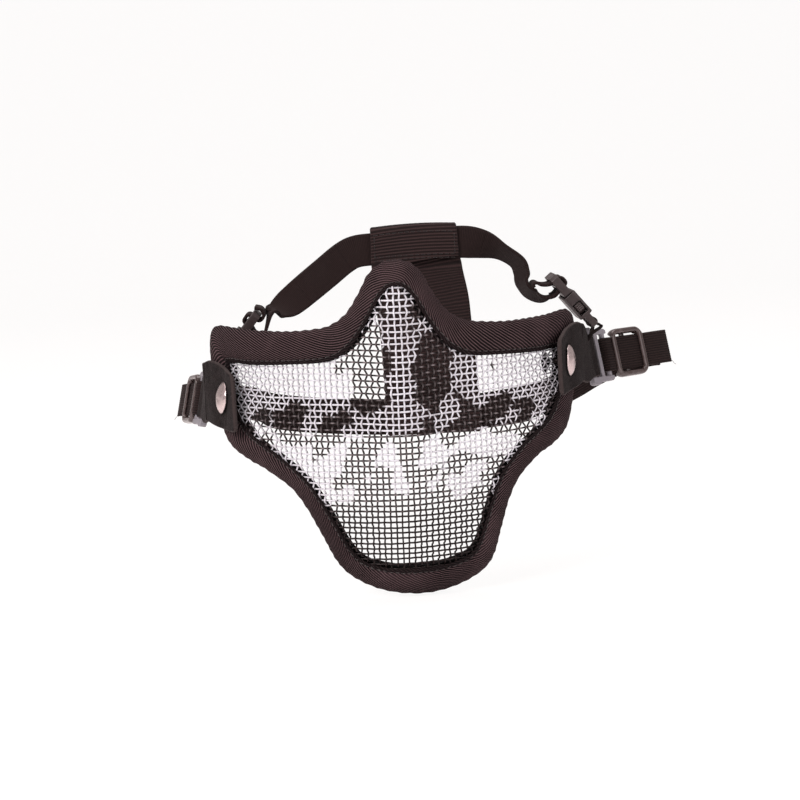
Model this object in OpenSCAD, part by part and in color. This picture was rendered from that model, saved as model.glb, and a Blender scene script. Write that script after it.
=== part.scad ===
// Lower-face mask: woven wire shell with a padded tape edge, riveted felt side
// tabs, ring brackets, strap sliders, side-release buckles and an elastic
// head harness. Millimetres, upright as worn: +Z up, the front faces -Y.
// The origin is the centre of the face opening on the mid-plane.
// "Right" is +X, the right-hand side as seen from the front.

/* [Shell] */
// Radius of the wrap around the face
face_radius = 86; // [82:1:90]
// Depth of the wrap from nose line to rear edge
face_depth = 85; // [80:1:90]
// How far the nose ridge stands in front of the origin
nose_reach = 78; // [74:1:82]
// Height of the nose ridge over the cheeks
ridge_height = 10; // [6:0.5:12]
// Thickness of the woven wire sheet
mesh_thick = 1.2; // [0.9:0.1:1.3]
// Smoothing steps between outline control points
steps = 2; // [1:1:3]
// Sideways lean of the bent chin, per millimetre below the cheeks
chin_lean = 0.105; // [0:0.005:0.12]

/* [Rivets and tabs] */
// Distance of each rivet from the mid-plane, along the wrap
rivet_along = 81.5; // [80.5:0.5:83]
// How far each rivet leans outwards from the shell's own normal, in degrees
rivet_tilt = 20; // [16:1:22]
// How far the right rivet sits above the left one, halved
rivet_rise = 4.8; // [0:0.2:6]
// Diameter of the domed rivet cap
cap_diameter = 14; // [12:0.5:15]
// Diameter of the rivet shank
shank_diameter = 3.4; // [3:0.1:4]
// Running clearance of the felt hole on the shank
bore_gap = 0.1; // [0.05:0.05:0.3]
// Thickness of the felt tab
felt_thick = 2; // [1.6:0.1:2.2]

/* [Rings and webbing] */
// Width of the harness webbing
web_width = 15; // [14:0.5:15.5]
// Distance from the inner to the outer ring bar
ring_pitch = 11.6; // [11:0.2:12.4]
// Free length of the webbing tail past the slider
tail_length = 14.5; // [12:0.5:20]

/* [Harness] */
// Width of the wide back panel at its top edge
panel_width = 40.7; // [38:0.5:44]
// Sideways set of the soft harness from the mid-plane
panel_x = 13.2; // [6:0.2:15]
// Thickness of one elastic layer
elastic_thick = 1.5; // [1.2:0.1:1.6]

/* [Hidden] */
$fn = 40;

// Outer edge of the tape, nose to chin: [distance along the wrap, height].
OUTER_EDGE = [
    [0, 54.1], [5.4, 53.1], [10.9, 48.5], [14.7, 41.4], [20.5, 33], [27.8, 27.9],
    [35.1, 26.1], [51.6, 25], [74.2, 25.3], [98.7, 25.6], [107.2, 19.5], [105.5, 1.7],
    [98.3, -12.8], [89.5, -23.8], [73.9, -30.1], [63.7, -33.2], [52.3, -40.1],
    [45.3, -49.5], [40.6, -60.5], [35.3, -74.8], [29.4, -82.5], [19.8, -88.1],
    [9.6, -91], [0, -91.9]];
// Inner edge of the tape, where the wire shows, matched point for point.
INNER_EDGE = [
    [0, 43.8], [2.9, 42.9], [6.2, 39.1], [9.1, 34], [13.8, 26], [20.7, 17.8],
    [30, 13.1], [47.4, 11.8], [68.4, 11], [82.3, 11.2], [85, 9.2], [83.2, -2.5],
    [79.5, -10.6], [72.4, -17.8], [62.3, -23.1], [53.6, -27.7], [44.3, -35.1],
    [38.6, -43.3], [33.7, -54], [28, -67.6], [22.7, -74.2], [13.9, -77.3],
    [6, -78.3], [0, -78.4]];

// ---------- shell surface ----------
crown_z = -3;         // height where the shell stands furthest forward
lean_start_z = -27;   // the chin leans below this height
normal_step = .5;     // half span of the slopes behind each normal

function mix(from, to, part) = from + (to - from) * part;
function unit(v) = v / norm(v);
function smooth_step(from, to, x) =
    let (part = max(0, min(1, (x - from) / (to - from))))
    part * part * (3 - 2 * part);

// Setback of the shell above and below the crown.
function crown_setback(z) = (z > crown_z ? 0.0035 : 0.0038) * pow(z - crown_z, 2);
// Setback of the cheeks behind the ridge, and the ridge's width.
function cheek_setback(z) = 2 + ridge_height * smooth_step(-35, 5, z);
function ridge_width(z) = 16 - 3 * smooth_step(0, 45, z);

// A point of the shell's mid surface, from distance along the wrap and height.
function surface_point(along, z) =
    let (angle = along / face_radius * 180 / PI, x = face_radius * sin(angle))
    [x,
     -nose_reach + face_depth * (1 - cos(angle)) + crown_setback(z)
        + cheek_setback(z) * (1 - exp(-pow(x / ridge_width(z), 2))),
     z];
// Outward normal of the shell.
function surface_normal(along, z) = unit(cross(
    surface_point(along + normal_step, z) - surface_point(along - normal_step, z),
    surface_point(along, z + normal_step) - surface_point(along, z - normal_step)));
// The point that stands off the surface at place = [along, z].
function stand_off(place, distance) =
    surface_point(place.x, place.y) + distance * surface_normal(place.x, place.y);

// ---------- smooth curves through control points ----------
// Catmull-Rom point between b and c.
function spline(a, b, c, d, t) = 0.5 * ((2 * b) + (c - a) * t
    + (2 * a - 5 * b + 4 * c - d) * t * t + (3 * b - a - 3 * c + d) * t * t * t);
function smooth_loop(points, count) =
    let (n = len(points))
    [for (i = [0:n - 1]) for (j = [0:count - 1])
        spline(points[(i + n - 1) % n], points[i], points[(i + 1) % n],
            points[(i + 2) % n], j / count)];
function smooth_path(points, count) =
    let (n = len(points))
    [for (i = [0:n - 2]) for (j = [0:count - 1])
        spline(points[max(i - 1, 0)], points[i], points[i + 1],
            points[min(i + 2, n - 1)], j / count),
     points[n - 1]];

// A half outline closed with its mirror image, both shifted by the chin's lean.
function lean(z) = chin_lean * max(0, lean_start_z - z);
function both_sides(half) = [
    for (p = half) [lean(p.y) + p.x, p.y],
    for (i = [len(half) - 2:-1:1]) [lean(half[i].y) - half[i].x, half[i].y]];
OUTER_LOOP = smooth_loop(both_sides(OUTER_EDGE), steps);
INNER_LOOP = smooth_loop(both_sides(INNER_EDGE), steps);

// ---------- solid helpers ----------
// Two triangles that share the diagonal a-c.
function quad(a, b, c, d) = [[a, b, c], [a, c, d]];

// A closed solid through equal sections, ring-shaped or with two end caps.
module loft(sections, closed = false) {
    n = len(sections);
    m = len(sections[0]);
    walls = [for (i = [0:closed ? n - 1 : n - 2]) for (j = [0:m - 1])
        let (next_i = (i + 1) % n, next_j = (j + 1) % m)
        each quad(i * m + j, i * m + next_j, next_i * m + next_j, next_i * m + j)];
    caps = closed ? [] : [[for (j = [m - 1:-1:0]) j], [for (j = [0:m - 1]) (n - 1) * m + j]];
    polyhedron(points = [for (section = sections) each section], faces = concat(walls, caps));
}

// Corners of a flat strip's cross-section.
function strip_section(centre, across, up, width, thick) =
    [for (q = [[-1, -1], [1, -1], [1, 1], [-1, 1]])
        centre + across * q.x * width / 2 + up * q.y * thick / 2];

// A flat strap through [centre, width direction] stations.
module strap(stations, width, thick, count) {
    centres = smooth_path([for (s = stations) s[0]], count);
    widths = smooth_path([for (s = stations) s[1]], count);
    last = len(centres) - 1;
    loft([for (i = [0:last])
        let (run = unit(centres[min(i + 1, last)] - centres[max(i - 1, 0)]),
            across = unit(widths[i] - (widths[i] * run) * run))
        strip_section(centres[i], across, cross(run, across), width, thick)]);
}

// An [x, z] outline made solid from y = rear forwards.
module plate(rear, depth, outline) {
    translate([0, rear, 0]) rotate([90, 0, 0]) linear_extrude(depth) polygon(outline);
}
// A round bar along z, centred on the origin.
module bar(radius, length) {
    translate([0, 0, -length / 2]) cylinder(r = radius, h = length);
}
// A box that starts at x and is centred on y and on z = 0.
module block(x, size, y = 0) {
    translate([x, y - size.y / 2, -size.z / 2]) cube(size);
}

// ---------- mask ----------
mesh_centre = [0, -5];   // where the shell's rings of points start
mesh_rings = 9;

module mesh_shell() {
    n = len(OUTER_LOOP);
    edge = [for (i = [0:n - 1]) mix(INNER_LOOP[i], OUTER_LOOP[i], 0.5)];
    sheet = mesh_rings * n;   // points in one sheet without its centre
    points = [
        for (face = [1, -1]) for (ring = [1:mesh_rings]) for (p = edge)
            stand_off(mix(mesh_centre, p, ring / mesh_rings), face * mesh_thick / 2),
        for (face = [1, -1]) stand_off(mesh_centre, face * mesh_thick / 2)];
    // Both sheets between their rings; sheet 0 is the outer one.
    bands = [for (s = [0, 1]) for (ring = [0:mesh_rings - 2]) for (i = [0:n - 1])
        let (a = s * sheet + ring * n + i, b = s * sheet + ring * n + (i + 1) % n)
        each s == 0 ? quad(a, a + n, b + n, b) : quad(a, b, b + n, a + n)];
    centre_fans = [for (i = [0:n - 1]) for (s = [0, 1])
        let (a = s * sheet + i, b = s * sheet + (i + 1) % n)
        s == 0 ? [2 * sheet, a, b] : [2 * sheet + 1, b, a]];
    edge_wall = [for (i = [0:n - 1])
        let (a = sheet - n + i, b = sheet - n + (i + 1) % n)
        each quad(a, a + sheet, b + sheet, b)];
    color("silver") polyhedron(points = points, faces = concat(bands, centre_fans, edge_wall));
}

// Edge sections: [part of the way from inner to outer edge, stand-off].
// The folded tape: front layer, rolled rim and rear layer around the pad.
TAPE = [[0, 1.0], [0, 1.7], [.15, 2.3], [.5, 2.7], [.85, 2.2], [1, .9], [1.03, -.4],
    [.98, -1.8], [.85, -2.9], [.5, -3.6], [.15, -3.3], [0, -2.7], [0, -2.25],
    [.15, -2.72], [.5, -2.95], [.8, -2.3], [.84, -.9], [.84, 1.0]];
PAD = [[.02, -1.1], [.78, -1.1], [.75, -2.1], [.5, -2.75], [.15, -2.5], [.02, -2.05]];

module rim(section) {
    loft([for (i = [0:len(OUTER_LOOP) - 1])
        [for (p = section) stand_off(mix(INNER_LOOP[i], OUTER_LOOP[i], p[0]), p[1])]],
        closed = true);
}
module edge_binding() {
    color([.16, .13, .12]) rim(TAPE);
}
module binding_foam() {
    color([.2, .2, .2]) rim(PAD);
}

// ---------- side frames ----------
// side is 1 for right and -1 for left. The side hardware is drawn on the
// right and mirrored for the left; the two sides hang differently.
function rivet_z(side) = side * rivet_rise;
function ring_at(side) = side > 0
    ? [91.5, 7, rivet_z(side) - 3.4]
    : [86.5, 5, rivet_z(side) - 3.6];
function ring_turn(side) = side > 0 ? 48 : 20;
function ring_dip(side) = side > 0 ? 2 : 8;
function web_turn(side) = side > 0 ? -10 : 2;
function buckle_at(side) = side > 0 ? [92.5, 9, 18] : [79, 9, 7.6];
buckle_tilt = 129.8;
ring_roll = 15;

module mirrored(side) {
    if (side > 0) children();
    else mirror([1, 0, 0]) children();
}
// On the shell at the rivet, z outwards along the shank.
module at_rivet(side) {
    normal = surface_normal(rivet_along, rivet_z(side));
    translate(surface_point(rivet_along, rivet_z(side)))
        rotate([0, acos(normal.z), atan2(normal.y, normal.x) + rivet_tilt])
            children();
}
// On the inner ring bar, z along the bar and x towards the outer bar.
module at_ring(side) {
    translate(ring_at(side)) rotate([0, 0, 90 - ring_turn(side)])
        rotate([0, ring_dip(side), 0]) rotate([-ring_roll, 0, 0])
            children();
}
// On the outer ring bar, x along the webbing.
module at_web(side) {
    at_ring(side) translate([ring_pitch, 0, 0]) rotate([0, 0, web_turn(side)]) children();
}
// On the socket's end bar, x towards the plug and y rearwards.
module at_buckle(side) {
    translate(buckle_at(side)) rotate([0, -buckle_tilt, 0]) children();
}

// ---------- rivets ----------
module rivet(side) {
    shank = shank_diameter / 2;
    foot = shank + .9;
    cap = cap_diameter / 2;
    // [radius, height]: foot, shank, cap rim and dome
    profile = [[0, -5.4], [foot, -5.4], [foot, -4.8], [shank, -4.8],
        [shank, 6.65], [cap - .6, 6.65], [cap, 7], [cap - .1, 7.5],
        [cap - 1.2, 8.2], [cap - 3, 8.8], [cap - 5, 9.15], [0, 9.25]];
    color([.82, .76, .75]) mirrored(side) at_rivet(side)
        rotate_extrude($fn = 64) polygon(profile);
}
module rivet_washer(side) {
    color([.5, .5, .5]) mirrored(side) at_rivet(side) translate([0, 0, -4.7]) difference() {
        cylinder(d = 10, h = .7);
        translate([0, 0, -1]) cylinder(d = shank_diameter + .2, h = 3);
    }
}

// ---------- felt side tabs ----------
// Stations on the wrap: [along, top, bottom, stand-off], heights from the rivet.
TAB_ON_WRAP = [
    [72.6, 6, -9.5, 8.6], [74, 10, -13.6, 8.1], [77.5, 13.4, -15, 6.9],
    [81.5, 14.6, -15, 5.5], [86, 15, -14.6, 4.4], [92, 15.2, -13.9, 4.3],
    [98, 15, -13, 4.6], [103, 14, -12.6, 4.9]];
// Cross-section: [part of the way from bottom to top, outer (1) or inner (-1) face].
TAB_SECTION = [[0, -1], [0, 1], [.33, 1], [.66, 1], [1, 1], [1, -1], [.66, -1], [.33, -1]];

// Where the tab leaves the wrap, its level heading to the ring, and outwards from that.
function tab_leave(side) =
    let (p = stand_off([104, 0], 5.1))
    [p.x, p.y, rivet_z(side)];
function tab_gap(side) =
    let (gap = ring_at(side) - tab_leave(side))
    [gap.x, gap.y, 0];
function tab_heading(side) = unit(tab_gap(side));
function tab_outward(side) =
    let (heading = tab_heading(side))
    [heading.y, -heading.x, 0];
// The ring bars' long direction.
function bar_direction(side) =
    let (turn = 90 - ring_turn(side), dip = ring_dip(side),
        x = sin(dip) * cos(ring_roll), y = sin(ring_roll))
    [x * cos(turn) - y * sin(turn), x * sin(turn) + y * cos(turn), cos(dip) * cos(ring_roll)];

module tab_sheet(side) {
    // Free stations: [part of the way to the ring, top, bottom].
    free = [[.3, 12.6, -12.2], [.62, 10.5, -10.8], [1 - 2.3 / norm(tab_gap(side)), 9.2, -9.2]];
    half = felt_thick / 2;
    loft(concat(
        [for (s = smooth_path(TAB_ON_WRAP, 2)) [for (q = TAB_SECTION)
            stand_off([s[0], rivet_z(side) + mix(s[2], s[1], q[0])], s[3] + q[1] * half)]],
        [for (s = free)
            let (centre = mix(tab_leave(side), ring_at(side), s[0]),
                up = unit(mix([0, 0, 1], bar_direction(side), s[0])))
            [for (q = TAB_SECTION)
                centre + up * mix(s[2], s[1], q[0]) + tab_outward(side) * q[1] * half]]));
}
module side_tab(side) {
    color([.24, .24, .25]) mirrored(side) difference() {
        union() {
            tab_sheet(side);
            at_ring(side) bar(3.3, 19);
        }
        at_ring(side) bar(1.6, 24);
        // shank hole and cap recess
        at_rivet(side) translate([0, 0, -1]) cylinder(d = shank_diameter + 2 * bore_gap, h = 12);
        at_rivet(side) translate([0, 0, 6.63]) cylinder(d = cap_diameter + .8, h = 6);
    }
}

// ---------- rings, webbing and sliders ----------
// Ring bracket: two arms with ears, an inner, a middle and an outer bar.
module ring(side) {
    bar_length = 22;
    arm = [[-2.2, 10], [-2.2, 12.8], [-1, 13.6], [2.4, 13.6], [4, 12.4],
        [ring_pitch + .8, 12.4], [ring_pitch + 2, 11.4], [ring_pitch + 2, 10]];
    color([.62, .62, .63]) mirrored(side) at_ring(side) {
        for (end = [-1, 1]) plate(1.5, 3, [for (p = arm) [p.x, end * p.y]]);
        for (x = [0, ring_pitch]) translate([x, 0, 0]) bar(1.3, bar_length);
        block(ring_pitch / 2 - 1.1, [2.4, 2.4, bar_length]);
    }
}

// Doubled webbing round the outer ring bar, with its free tail.
module webbing_loop(side) {
    tail_end = 25 + tail_length;
    outline = [[0, -2.5], [3.8, -1.05], [30.5, -1.05], [tail_end, -1.9], [tail_end, -.9],
        [30, -.1], [25.5, 0], [25.5, 1], [5.5, 1], [0, 2.5]];
    color([.14, .12, .11]) mirrored(side) at_web(side)
        translate([0, 0, -web_width / 2]) difference() {
            union() {
                cylinder(r = 2.6, h = web_width);
                linear_extrude(web_width) polygon(outline);
            }
            translate([0, 0, -1]) cylinder(r = 1.5, h = web_width + 2);
        }
}

// Three-bar slider: end bars outside the webbing, middle bar inside it.
module slider(side) {
    bar_size = [3.2, 1.25, 17];
    bar_y = 1.875;
    cheek = [[-9.8, 8], [-9.8, 10.6], [-8.4, 11.8], [8.4, 11.8], [9.8, 10.6], [9.8, 8]];
    color([.3, .27, .25]) mirrored(side) at_web(side) translate([14, 0, 0]) {
        for (end = [-1, 1]) plate(2.5, 5, [for (p = cheek) [p.x, end * p.y]]);
        for (x = [-8.2, 8.2]) block(x - bar_size.x / 2, bar_size, -bar_y);
        block(-bar_size.x / 2, bar_size, bar_y);
    }
}

// ---------- side-release buckles ----------
// Flat strip from the inner face of the tab to an eye on the socket's end bar.
module buckle_link(side) {
    width = 7.2;
    thick = 1.1;
    eye_y = -4.4;
    heading = tab_heading(side);
    outward = tab_outward(side);
    on_tab = mix(tab_leave(side), ring_at(side), .6);
    foot = [on_tab.x, on_tab.y, rivet_z(side) - 3] - outward * (felt_thick / 2 + .9);
    to_plug = [cos(buckle_tilt), 0, sin(buckle_tilt)];
    // [centre, width direction, thickness direction]
    stations = [
        [foot, heading, outward],
        [foot + [0, .5, 6] - outward * .2, heading, outward],
        [buckle_at(side) + [0, eye_y, 0] - to_plug * 2, [0, 1, 0], [to_plug.z, 0, -to_plug.x]]];
    color([.13, .12, .12]) mirrored(side) {
        loft([for (s = stations) strip_section(s[0], s[1], s[2], width, thick)]);
        at_buckle(side) translate([0, eye_y, 0]) rotate([90, 0, 0]) difference() {
            bar(2.5, width);
            bar(1.35, 14);
        }
    }
}
// Socket half: end bar, hollow housing open towards the plug, side windows.
module buckle_female(side) {
    color([.1, .1, .1]) mirrored(side) at_buckle(side) difference() {
        union() {
            rotate([90, 0, 0]) bar(1.15, 18);
            for (end = [-1, 1]) block(-1.6, [8, 1.6, 3.2], end * 9.2);
            translate([4.4, 0, 0]) rotate([0, 90, 0]) linear_extrude(12.6)
                polygon([[-3.4, -8], [-2.4, -10], [2.4, -10], [3.4, -8],
                    [3.4, 8], [2.4, 10], [-2.4, 10], [-3.4, 8]]);
        }
        block(5.6, [13, 17.2, 4.4]);   // hollow
        block(6, [6.2, 22, 4.4]);      // windows
    }
}
// Plug half: ladder base with two strap slots and a centre guide.
module buckle_male(side) {
    color([.1, .1, .1]) mirrored(side) at_buckle(side) {
        difference() {
            translate([17.3, 0, -2]) linear_extrude(4)
                polygon([[0, -9.6], [1, -10], [9.6, -10], [11, -8.6],
                    [11, 8.6], [9.6, 10], [1, 10], [0, 9.6]]);
            block(19.8, [2.8, 15.6, 6]);
            block(24.4, [2.3, 15.6, 6]);
        }
        block(7, [10.6, 2.4, 3.4]);
    }
}
// One sprung arm of the plug; end picks the rear (1) or the front (-1) arm.
module buckle_prong(side, end) {
    color([.12, .12, .12]) mirrored(side) at_buckle(side) mirror([0, end > 0 ? 0 : 1, 0])
        translate([0, 0, -1.7]) linear_extrude(3.4) {
            translate([16.2, 4.6]) circle(r = .85);
            polygon([[16.2, 3.8], [16.2, 5.4], [12.2, 5.9], [11.8, 9.3], [8.5, 9.6],
                [6.7, 8.2], [6.1, 5.6], [6.5, 4.7], [8.8, 6], [11, 4.5]]);
        }
}

// ---------- harness ----------
panel_y = 18.2;    // front of the back panel's rear layer
strap_tuck = 6;    // how far each upper strap runs in under the panel's fold

module upper_strap(side) {
    root_x = panel_x + side * (panel_width / 2 - strap_tuck);
    right = [
        [[root_x, panel_y - 1, 56.6], [0, 0, 1]], [[38, panel_y - 1, 56.6], [0, 0, 1]],
        [[47, panel_y - 1.2, 55.6], [.12, 0, 1]], [[55, panel_y - 2, 52], [.4, .35, .8]],
        [[60, 15.6, 47.6], [.5, .75, .45]], [[62, 14.6, 42.4], [.5, .85, .1]],
        [[62.4, 13.6, 37], [.3, .9, 0]], [[64.4, 12.6, 32.4], [0, 1, 0]]];
    left = [
        [[root_x, panel_y - 1, 55.4], [0, 0, 1]], [[-8, panel_y - 1, 55.4], [0, 0, 1]],
        [[-19, panel_y - 1.2, 53.2], [.25, 0, 1]], [[-28, 16.6, 47.4], [.55, 0, .84]],
        [[-38, 15.8, 40.2], [.57, .1, .82]], [[-46, 14.6, 33.4], [.55, .3, .8]]];
    color([.16, .13, .13]) strap(side > 0 ? right : left, web_width, elastic_thick, 4);
}
// Folded and sewn end of each elastic, past the buckle bars.
module strap_end(side) {
    width = 13.6;
    // [x, z, length, height]
    leaves = [[-1.1, -2.2, 1.1, 6.6], [-1.1, 3.2, 9.2, 1.2], [6.9, 3.6, 1.2, 3.4]];
    color([.13, .12, .12]) mirrored(side) at_buckle(side) translate([21.2, -width / 2, 0])
        for (leaf = leaves) translate([leaf[0], 0, leaf[1]]) cube([leaf[2], width, leaf[3]]);
}
// Wide elastic with its top and bottom folded forward over the straps.
module back_panel() {
    rear_thick = 1.6;
    fold_thick = 1.4;
    gap = elastic_thick + .6;
    depth = rear_thick + gap + fold_thick;
    top = 63.5;
    fold_top = 65;
    bottom = -34;
    fold_bottom = bottom - fold_thick;
    left = panel_x - panel_width / 2;
    right = panel_x + panel_width / 2;
    low_left = left + 4;
    low_right = right + 6.6;
    color([.17, .14, .13]) translate([0, panel_y, 0]) {
        // rear layer
        plate(rear_thick, rear_thick,
            [[left, top], [right, top], [low_right, bottom], [low_left, bottom]]);
        // top fold: flared strip, straight strip and front flap
        plate(0, gap + fold_thick,
            [[left, top], [right, top], [right + .1, 64.9], [left - .1, 64.9]]);
        plate(rear_thick, depth,
            [[left, top], [right, top], [right, fold_top], [left, fold_top]]);
        plate(-gap, fold_thick,
            [[left, fold_top], [right, fold_top], [right + 1, 48.5], [left + .7, 48.5]]);
        // bottom fold: strip and front flap
        plate(rear_thick, depth, [[low_left, bottom], [low_right, bottom],
            [low_right, fold_bottom], [low_left, fold_bottom]]);
        plate(-gap, fold_thick, [[low_left, fold_bottom], [low_right, fold_bottom],
            [right + 5.6, -14], [left + 3.3, -14]]);
    }
}
module lower_strap() {
    mid_y = panel_y - 1.05;
    color([.14, .12, .12]) strap([
        [[-78, 24, -19], [.1, 0, 1]], [[-64, 22.6, -19.4], [.06, 0, 1]],
        [[-36, 18.6, -22.4], [.08, 0, 1]], [[-8, mid_y, -24.4], [0, 0, 1]],
        [[18, mid_y, -24.6], [0, 0, 1]], [[44, mid_y, -23.4], [-.06, 0, 1]],
        [[66, 21, -20.8], [-.08, 0, 1]], [[83, 25, -18.6], [-.1, 0, 1]]],
        web_width, 1.2, 3);
}

mesh_shell();
edge_binding();
binding_foam();
rivet(1);  // rivet_right
rivet(-1);  // rivet_left
rivet_washer(1);  // rivet_washer_right
rivet_washer(-1);  // rivet_washer_left
side_tab(1);  // side_tab_right
side_tab(-1);  // side_tab_left
ring(1);  // ring_right
ring(-1);  // ring_left
webbing_loop(1);  // webbing_loop_right
webbing_loop(-1);  // webbing_loop_left
slider(1);  // slider_right
slider(-1);  // slider_left
buckle_link(1);  // buckle_link_right
buckle_link(-1);  // buckle_link_left
buckle_female(1);  // buckle_female_right
buckle_female(-1);  // buckle_female_left
buckle_male(1);  // buckle_male_right
buckle_male(-1);  // buckle_male_left
buckle_prong(1, -1);  // buckle_prong_front_right
buckle_prong(1, 1);  // buckle_prong_rear_right
buckle_prong(-1, -1);  // buckle_prong_front_left
buckle_prong(-1, 1);  // buckle_prong_rear_left
upper_strap(1);  // upper_strap_right
upper_strap(-1);  // upper_strap_left
strap_end(1);  // strap_end_right
strap_end(-1);  // strap_end_left
back_panel();
lower_strap();
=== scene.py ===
# A half face mask of woven, two-tone painted wire: taped rim, riveted felt tabs at the sides, ring
# brackets, sliders, buckles and straps to a wide back panel. X runs across, Z is up and the nose
# points along -Y. "right" in a name means the +X side. Lengths are in millimetres until
# add_mesh turns them into metres; the stage, lights and camera are in metres.
import math
from math import cos, pi, radians, sin

import bmesh
import bpy
import numpy as np
from mathutils import Matrix, Vector, noise
from numpy import array


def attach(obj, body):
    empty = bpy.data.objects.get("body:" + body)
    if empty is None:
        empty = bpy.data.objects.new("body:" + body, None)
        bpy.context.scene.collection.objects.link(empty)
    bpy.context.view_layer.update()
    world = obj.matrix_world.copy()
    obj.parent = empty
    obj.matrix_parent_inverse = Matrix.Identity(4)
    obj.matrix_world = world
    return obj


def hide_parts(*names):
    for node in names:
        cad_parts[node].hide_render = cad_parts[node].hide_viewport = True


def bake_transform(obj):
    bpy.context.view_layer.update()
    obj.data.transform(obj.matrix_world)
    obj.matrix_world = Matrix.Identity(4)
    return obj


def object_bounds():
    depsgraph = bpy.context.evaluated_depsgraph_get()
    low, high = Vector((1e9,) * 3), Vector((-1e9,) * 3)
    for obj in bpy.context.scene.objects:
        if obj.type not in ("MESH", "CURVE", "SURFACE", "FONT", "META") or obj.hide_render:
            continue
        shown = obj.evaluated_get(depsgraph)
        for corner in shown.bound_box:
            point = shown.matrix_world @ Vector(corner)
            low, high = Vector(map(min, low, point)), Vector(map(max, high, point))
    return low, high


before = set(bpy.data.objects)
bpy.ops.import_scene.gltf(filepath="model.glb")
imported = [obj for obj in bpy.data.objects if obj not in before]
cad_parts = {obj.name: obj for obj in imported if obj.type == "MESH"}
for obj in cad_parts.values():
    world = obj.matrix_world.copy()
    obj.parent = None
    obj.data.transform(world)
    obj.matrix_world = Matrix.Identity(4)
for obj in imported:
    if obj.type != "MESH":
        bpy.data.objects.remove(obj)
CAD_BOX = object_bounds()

SIDES = (1, -1)  # +X, then -X

WRAP_RADIUS = 86  # of the shell round the face
WRAP_DEPTH = 85
NOSE_Y = -78
BOW_Z = -3  # height at which the shell reaches furthest forward
RISE = 4.8  # the +X tab sits this much up, the -X tab this much down
BACK_Y = 18.2  # depth at which the straps meet the back panel
VIEW_TARGET = (-0.5, NOSE_Y, -2.4)
VIEW_RISE = radians(8)  # the camera looks down by this
VIEW_DISTANCE = 650
TWILL_ANGLE, TWILL_PITCH = 62.0, 1.08  # diagonal ribs of the edge tape


def detail(full, quick):
    return full


# ------------------------------------------------------------------ curves and the shell
def ease(low, high, x):
    """Smooth step from 0 at low to 1 at high; low may be the larger."""
    t = np.clip((np.asarray(x, float) - low) / (high - low), 0, 1)
    return t * t * (3 - 2 * t)


def unit(v):
    v = np.asarray(v, float)
    return v / np.maximum(np.linalg.norm(v, axis=-1, keepdims=True), 1e-9)


def shell_point(u, z):
    """Point of the shell at u, measured round it from the middle, and height z."""
    u, z = np.broadcast_arrays(np.asarray(u, float), np.asarray(z, float))
    turn = u / WRAP_RADIUS
    x = WRAP_RADIUS * np.sin(turn)
    bow = np.where(z > BOW_Z, 0.0035, 0.0038) * (z - BOW_Z) ** 2
    ridge_depth = 2 + 10 * ease(-35, 5, z)
    ridge_width = 16 - 3 * ease(0, 45, z)
    ridge = ridge_depth * (1 - np.exp(-((x / ridge_width) ** 2)))
    return np.stack([x, NOSE_Y + WRAP_DEPTH * (1 - np.cos(turn)) + bow + ridge, z], -1)


def shell_normal(u, z):
    """Unit normal of the shell, pointing out of it."""
    around = shell_point(np.asarray(u) + 0.5, z) - shell_point(np.asarray(u) - 0.5, z)
    upward = shell_point(u, np.asarray(z) + 0.5) - shell_point(u, np.asarray(z) - 0.5)
    return unit(np.cross(around, upward))


# Outlines of the rim tape, (u, z) from the top middle down the +X half
OUTER = [
    (0, 54.1), (5.4, 53.1), (10.9, 48.5), (14.7, 41.4), (20.5, 33), (27.8, 27.9), (35.1, 26.1),
    (51.6, 25), (74.2, 25.3), (98.7, 25.6), (107.2, 19.5), (105.5, 1.7), (98.3, -12.8),
    (89.5, -23.8), (73.9, -30.1), (63.7, -33.2), (52.3, -40.1), (45.3, -49.5), (40.6, -60.5),
    (35.3, -74.8), (29.4, -82.5), (19.8, -88.1), (9.6, -91), (0, -91.9)]
INNER = [
    (0, 43.8), (2.9, 42.9), (6.2, 39.1), (9.1, 34), (13.8, 26), (20.7, 17.8), (30, 13.1),
    (47.4, 11.8), (68.4, 11), (82.3, 11.2), (85, 9.2), (83.2, -2.5), (79.5, -10.6),
    (72.4, -17.8), (62.3, -23.1), (53.6, -27.7), (44.3, -35.1), (38.6, -43.3), (33.7, -54),
    (28, -67.6), (22.7, -74.2), (13.9, -77.3), (6, -78.3), (0, -78.4)]


def full_outline(half):
    """Both halves of an outline; below z -27 the whole of it leans towards +X."""
    points = array(half + [(-x, z) for x, z in half[-2:0:-1]], float)
    points[:, 0] += 0.105 * np.maximum(0, -27 - points[:, 1])
    return points


def curve_span(a, b, c, d, steps):
    """Catmull-Rom points from b towards c."""
    t = np.arange(steps)[:, None] / steps
    square = (2 * a - 5 * b + 4 * c - d) * t * t
    return 0.5 * (2 * b + (c - a) * t + square + (3 * b - a - 3 * c + d) * t ** 3)


def closed_curve(p, steps):
    n = len(p)
    return np.concatenate([
        curve_span(p[i - 1], p[i], p[(i + 1) % n], p[(i + 2) % n], steps) for i in range(n)])


def open_curve(points, steps):
    p = array(points, float)
    n = len(p)
    spans = [curve_span(p[max(i - 1, 0)], p[i], p[i + 1], p[min(i + 2, n - 1)], steps)
             for i in range(n - 1)]
    return np.concatenate(spans + [p[-1:]])


def arc_lengths(points):
    return np.concatenate([[0], np.cumsum(np.linalg.norm(np.diff(points, axis=0), axis=1))])


def sample(where, lengths, values):
    return np.stack([np.interp(where, lengths, column) for column in values.T], 1)


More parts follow.
